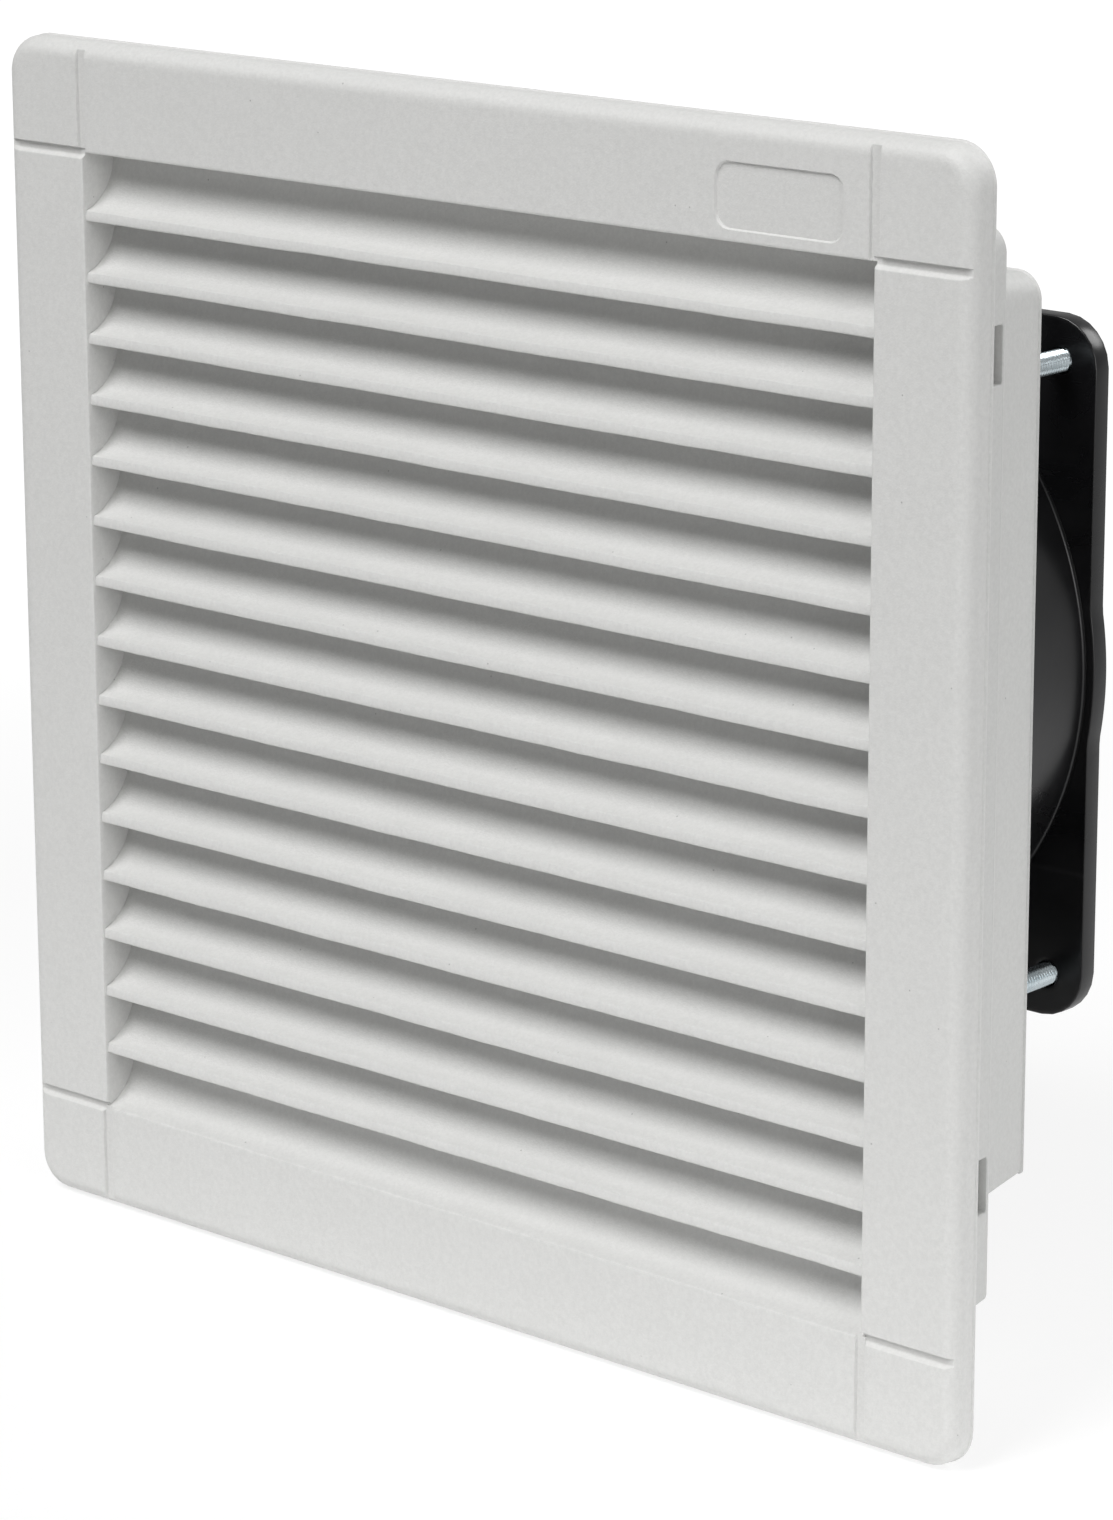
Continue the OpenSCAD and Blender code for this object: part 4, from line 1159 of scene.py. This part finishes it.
def make_fan_frame():
    """Two flanges, the duct between them, the motor's base, the terminal lug and four struts."""
    front, back, out = FAN_FRONT, FAN_BACK, BARREL_OUT
    front_in, back_in = front + FAN_FLANGE, back - FAN_FLANGE
    holes = [circle(out - 0.02, 128)]
    holes += [circle(HOLE_R, 32, (x * HOLE_AT, z * HOLE_AT)) for x, z in CORNERS]
    outline = flange_outline()
    flanges = ((front + 0.01, front_in), (back_in, back))
    shells = [plate(outline, w0, w1, "Y", holes, 0.25, 3, 0.5) for w0, w1 in flanges]
    mouth = front + 0.3
    barrel = [(BARREL_R + FLARE_OUT * (1 - s), mouth + FLARE_DEPTH * (1 - c)) for s, c in quarter(6)]
    barrel += [
        (BARREL_R, back - 3.0), (BARREL_R + 0.3, back - 1.4), (BARREL_R + 0.9, back - 0.3),
        (BARREL_R + 1.3, back - 0.05), (out - 0.3, back - 0.05), (out, back - 0.3),
        (out, back - 1.0), (out + 1.1, back - 1.4),
    ]
    barrel += arc(out, back_in - BARREL_ROOT, BARREL_ROOT, 90, 180, 5)
    barrel += arc(out, front_in + BARREL_ROOT, BARREL_ROOT, 180, 270, 5)
    barrel += [
        (out + 1.1, front + 1.4), (out, front + 1.0), (out, front + 0.3),
        (out - 0.3, front + 0.05), (BARREL_R + 1.7, front + 0.05),
    ]
    shells.append(turned(barrel, 160))
    base_r, low, high = MOTOR_BASE_R, MOTOR_FRONT, MOTOR_BACK
    base = [
        (13.0, high), (26.6, high), (26.9, high + 0.3), (base_r - 0.8, high + 0.3), (base_r - 0.2, high),
        (base_r, high - 0.7), (base_r, low + 0.4), (base_r - 0.4, low), (10.2, low), (9.6, low + 0.3),
        (9.6, high - 0.3), (10.0, high),
    ]
    shells.append(turned(base))
    left, right, bottom, (y0, y1) = *LUG_X, LUG_FOOT, LUG_DEPTH
    lug = [(left, bottom), (right, bottom), (right, LUG_TOP[1]), (left, LUG_TOP[0])]
    shells.append(plate(lug, y0, y1, "Y", soft=0.3))
    arm = []
    for r, half_w, half_t in STRUT:
        arm.append(along("X", r, [(high - 1.5 + u, v) for u, v in rounded(half_t, half_w, 0.9, 3)]))
    c = math.cos(math.pi / 4)
    strut = placed(loft(arm), lambda x, y, z: ((x - z) * c, y, (x + z) * c))
    struts = repeated(strut, 4, turn=90)
    mesh = joined(shell_mesh(shells), struts)
    fit("fan_frame_moulding", mesh, "gloss", "housing", "fan_frame")


make_fan_frame()


# Impeller
def blade_point(u, v, side, thick):
    """A point of a swept, twisted blade: u runs from root to tip, v from nose to tail."""
    r = HUB_R - 0.6 + u * (TIP_R - HUB_R + 0.6)
    turn = (0.5 - v) * (44 - 7 * u) - 14 * u * u + 4 * math.sin(math.pi * v)
    turn = math.radians(turn) + side * thick / 2 / r
    y0, y1 = HUB_FRONT + 2.0, MOTOR_FRONT - 4.6
    y = y0 + (y1 - y0) * (0.5 + (v - 0.5) * (1 - 0.12 * u) + 0.06 * math.sin(math.pi * u) * (1 - 2 * v))
    return r * math.cos(turn), y, r * math.sin(turn)


def blade_thickness(v):
    """How thick a blade is from its round nose to its thin tail, as a share."""
    if v < BLADE_NOSE:
        return math.sqrt(max(0.0, 1 - ((BLADE_NOSE - v) / BLADE_NOSE) ** 2))
    return 1 - 0.72 * ((v - BLADE_NOSE) / (1 - BLADE_NOSE)) ** 1.3


def blade_shell(spans=14, chords=26):
    """One blade, slightly thicker at its root and rounded at its tip."""
    rings = []
    for i in range(spans + 1):
        u = i / spans
        root = 1 + 0.5 * math.exp(-u * 9)
        tip = 1.0 if i < spans else 0.55
        ring = []
        for side, order in ((1, range(chords + 1)), (-1, range(chords - 1, 0, -1))):
            for j in order:
                v = (1 - math.cos(math.pi * j / chords)) / 2
                ring.append(blade_point(u, v, side, BLADE_T * blade_thickness(v) * root * tip))
        rings.append(ring)
    return loft(rings)


def make_impeller():
    """The hub, open at the back over the rotor cup, with its blades and the ribs of its front recess."""
    front, back, cup = HUB_FRONT, CUP_BACK, CUP_FRONT - 0.05
    hub = [
        (5.2, front), (11.0, front), (11.3, front + 0.5), (21.8, front + 0.5), (22.1, front),
        (28.6, front), (29.8, front + 0.3), (30.6, front + 1.0), (HUB_R, front + 2.2),
        (HUB_R, back - 0.3), (HUB_R - 0.3, back), (CUP_R + 0.3, back), (CUP_R + 0.05, back - 0.3),
        (CUP_R + 0.05, cup), (5.0, cup), (5.0, front + 0.2),
    ]
    body = shell_mesh([turned(hub, 128)])
    blades = repeated(blade_shell(), BLADES, turn=360 / BLADES)
    rib = block((12.2, front + 0.25, -0.6), (21.2, front + 0.75, 0.6), 0.2)
    ribs = repeated(rib, HUB_RIBS, turn=360 / HUB_RIBS)
    mesh = joined(body, blades, ribs)
    fit("impeller_moulding", mesh, "blade", "rotor", "impeller", sharp=40)


make_impeller()


# Screws and washers
def thread_shell(y0, y1, steps=24):
    """A screw thread along Y as one closed skin."""
    rows = int((y1 - y0) / THREAD_PITCH * 6)
    rings = []
    for k in range(rows + 1):
        y = y0 + (y1 - y0) * k / rows
        fade = min(1, (y - y0) / 1.2)
        ring = []
        for i in range(steps):
            phase = (y / THREAD_PITCH + i / steps) % 1
            depth = THREAD_D * min(1, abs(2 * phase - 1) * 1.25)
            radius = (SHANK_R - depth) * (0.78 + 0.22 * fade)
            a = 2 * math.pi * i / steps
            ring.append((radius * math.cos(a), y, radius * math.sin(a)))
        rings.append(ring)
    return loft(rings)


def screw_head(y0, y1):
    """A domed pan head with a cross recess."""
    brim = y0 + 0.5
    dome = [(0.01, y0), (HEAD_R - 0.15, y0), (HEAD_R, y0 + 0.15)]
    dome += [(HEAD_R * c ** 0.75, brim + (y1 - brim) * s) for s, c in quarter(7, 1)[:-1]]
    dome.append((0.01, y1))
    cross = []
    for flip in (1, -1):
        rings = []
        for y, share in ((y1 - 1.7, 0.45), (y1 + 0.6, 1.05)):
            half_u, half_v = (2.3 * share, 0.45)[::flip]
            rings.append(along("Y", y, rounded(half_u, half_v, 0.12, 2)))
        cross.append(loft(rings))
    return carved(turned(dome, 40), ("DIFFERENCE", cross))


def make_screws():
    low, high = box_of("fan_screws")
    seat = FAN_BACK + WASHER_T
    shank = shell_mesh([thread_shell(low.y + 0.02, seat + 0.4)])
    one = joined(screw_head(seat, high.y), shank)
    points = [(v.co.x / MM + HOLE_AT, v.co.y / MM, v.co.z / MM + HOLE_AT) for v in one.vertices]
    faces = [tuple(face.vertices) for face in one.polygons]
    screws = repeated((points, faces), 4, turn=90)
    fit("fan_screw_set", screws, "zinc", "housing", "fan_screws", sharp=38)

    y0, y1 = FAN_BACK + 0.005, seat - 0.01
    ring = [
        (2.2, y0 + 0.095), (2.3, y0), (4.35, y0), (4.5, y0 + 0.115),
        (4.5, y1 - 0.17), (4.35, y1), (2.3, y1), (2.2, y1 - 0.11),
    ]
    washers = repeated(turned(ring, 48, (HOLE_AT, HOLE_AT)), 4, turn=90)
    fit("screw_washer_set", washers, "zinc", "housing", "screw_washers")


make_screws()


# Terminals
def make_terminals():
    """The supply terminal block: a case with wire entries, clamp chambers, screw wells and slots."""
    low, high = box_of("terminal_block")
    half = (high.x - low.x) / 2
    pitch = 2 * half / 3.4
    entry = [(0.01, 52.0), (1.6, 52.0), (1.6, 62.9), (2.3, 64.05), (2.3, 65.0), (0.01, 65.0)]
    tools = []
    for i in (-1, 0, 1):
        x, z = i * pitch, high.z - (high.z - low.z) * 0.6
        tools += [
            turned(entry, 32, (x, z)),
            block((x - 4.18, 52.0, low.z + 1.6), (x + 4.18, 61.0, high.z - 1.6), 0.2),
            plate(circle(2.7, 32, (x, 56.5)), low.z - 1, low.z + 2.0, "Z", soft=0.05),
        ]
    for i in (-0.5, 0.5):
        x = i * pitch
        tools += [
            block((x - 0.3, 49.0, low.z - 1), (x + 0.3, 66.0, low.z + 0.5), 0.1),
            block((x - 0.3, 63.5, low.z - 1), (x + 0.3, 66.0, high.z - 2.2), 0.1),
        ]
    mesh = carved(block(low, high, 0.5), ("DIFFERENCE", tools))
    fit("terminal_block_case", mesh, "terminal", "housing", "terminal_block")


make_terminals()


# CAD nodes that keep their own shape
KEPT = {
    "brass": "brass_inserts bearing_tube terminal_clamps",
    "core": "stator_core",
    "copper": "stator_windings",
    "nylon": "winding_bobbin",
    "steel": "front_bearing_outer front_bearing_inner front_bearing_balls "
             "rear_bearing_outer rear_bearing_inner rear_bearing_balls rotor_shaft",
    "spring": "preload_washer shaft_clip",
    "cup": "rotor_cup",
    "magnet": "rotor_ring",
    "zinc": "fan_terminals terminal_screws",
    "lead": "motor_leads",
    "foil": "motor_label",
}
for finish, nodes in KEPT.items():
    for node in nodes.split():
        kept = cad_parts[node].data.materials
        kept.clear()
        kept.append(finishes[finish])


# Floor, world and lamps: a softbox high in front, over a white table that throws light back up and has a
# painted glowing patch that adds light from below
FLOOR_HALF = 9000
# In metres: where the pale table fades out, and where its painted glowing patch is and how far it reaches;
# the patch gives off light though it is no lamp
TABLE_EDGE = (0.15, 0.55)
GLOW_AT = (0.17, 0.13, -0.1)
GLOW_REACH = (0.04, 0.42)
AMBIENT = 0.10
MIRRORED = 0.4
# Place, aim, size in metres and level
LAMPS = {
    "key_lamp": ((-0.42, -1.65, 2.36), (0, 0, 0), 1.95, 1.01),
    "side_lamp": ((1.6, -0.35, 0.3), (0.08, 0.03, 0), 1.0, 0.41),
    "back_lamp": ((0.9, 1.9, 1.5), (0, 0.03, 0), 1.4, 0.4),
}


def grey(level):
    return level, level, level


def make_floor():
    """A pale table that shows white to the camera and keeps the object's shadow; it lights the object from
    below by bounce, and by a painted glowing patch that also lightens the shadow.
    """
    outline = [(x * FLOOR_HALF, y * FLOOR_HALF) for x, y in ((1, 1), (-1, 1), (-1, -1), (1, -1))]
    mesh = bpy.data.meshes.new("floor")
    mesh.from_pydata([Vector((x, y, -COVER_HALF - 0.1)) * MM for x, y in outline], [], [(0, 1, 2, 3)])
    floor = linked("floor", mesh)
    f = Finish("pale_floor", Roughness=0.9, Specular_IOR_Level=0.1, Emission_Strength=1.0)
    away = f.add("ShaderNodeVectorMath", {0: f.place()}, {"operation": "LENGTH"}, out=1)
    table = f.span(away, *TABLE_EDGE)
    paper = f.mix(f.grain(60.0, 2.0), grey(0.77), grey(0.80))
    f.colour(table, paper, grey(0.2))
    # Painted light: emission near GLOW_AT, fading out over GLOW_REACH, makes the floor glow though it is no
    # lamp; it lights the object from below and lightens its shadow.
    from_painted_glow = f.add("ShaderNodeVectorMath", {0: f.place(), 1: GLOW_AT}, {"operation": "DISTANCE"}, out=1)
    f.feed("Emission Color", f.mix(f.span(from_painted_glow, *GLOW_REACH), grey(0.36), grey(0)))
    straight = f.ray("Camera") + f.ray("Glossy") * 0.5
    seen = (straight + f.ray("Transmission")) * f.span(table, 0.0, 1.0, 0.7, 1.0)
    glow = f.add("ShaderNodeEmission", {"Color": (1, 1, 1, 1), "Strength": 1.05})
    both = f.add("ShaderNodeMixShader", {0: seen, 1: Value(f, f.shader.outputs[0]), 2: glow})
    f.join(both, f.nodes["Material Output"].inputs["Surface"])
    mesh.materials.append(f.material)


def make_world():
    """A white surrounding that gives little light, and shows paler in gloss than it lights."""
    world = bpy.data.worlds.new("studio")
    bpy.context.scene.world = world
    f = Finish("studio", owner=world)
    seen = f.ray("Camera") + f.ray("Transmission")
    strength = AMBIENT + seen * (1 - AMBIENT) + f.ray("Glossy") * (MIRRORED - AMBIENT)
    f.join(strength, f.nodes["Background"].inputs["Strength"])
    f.join((1, 1, 1, 1), f.nodes["Background"].inputs["Color"])


def add_lamp(name, place, aim, size, level):
    """A softbox that would light a white surface facing it to the given level."""
    away = Vector(aim) - Vector(place)
    data = bpy.data.lights.new(name, "AREA")
    data.shape = "DISK"
    data.size = size
    data.energy = level * (math.pi * away.length) ** 2
    lamp = linked(name, data)
    lamp.location = place
    lamp.rotation_euler = away.to_track_quat("-Z", "Y").to_euler()


make_floor()
make_world()
for name, lamp in LAMPS.items():
    add_lamp(name, *lamp)

bpy.context.scene.view_settings.view_transform = "Standard"
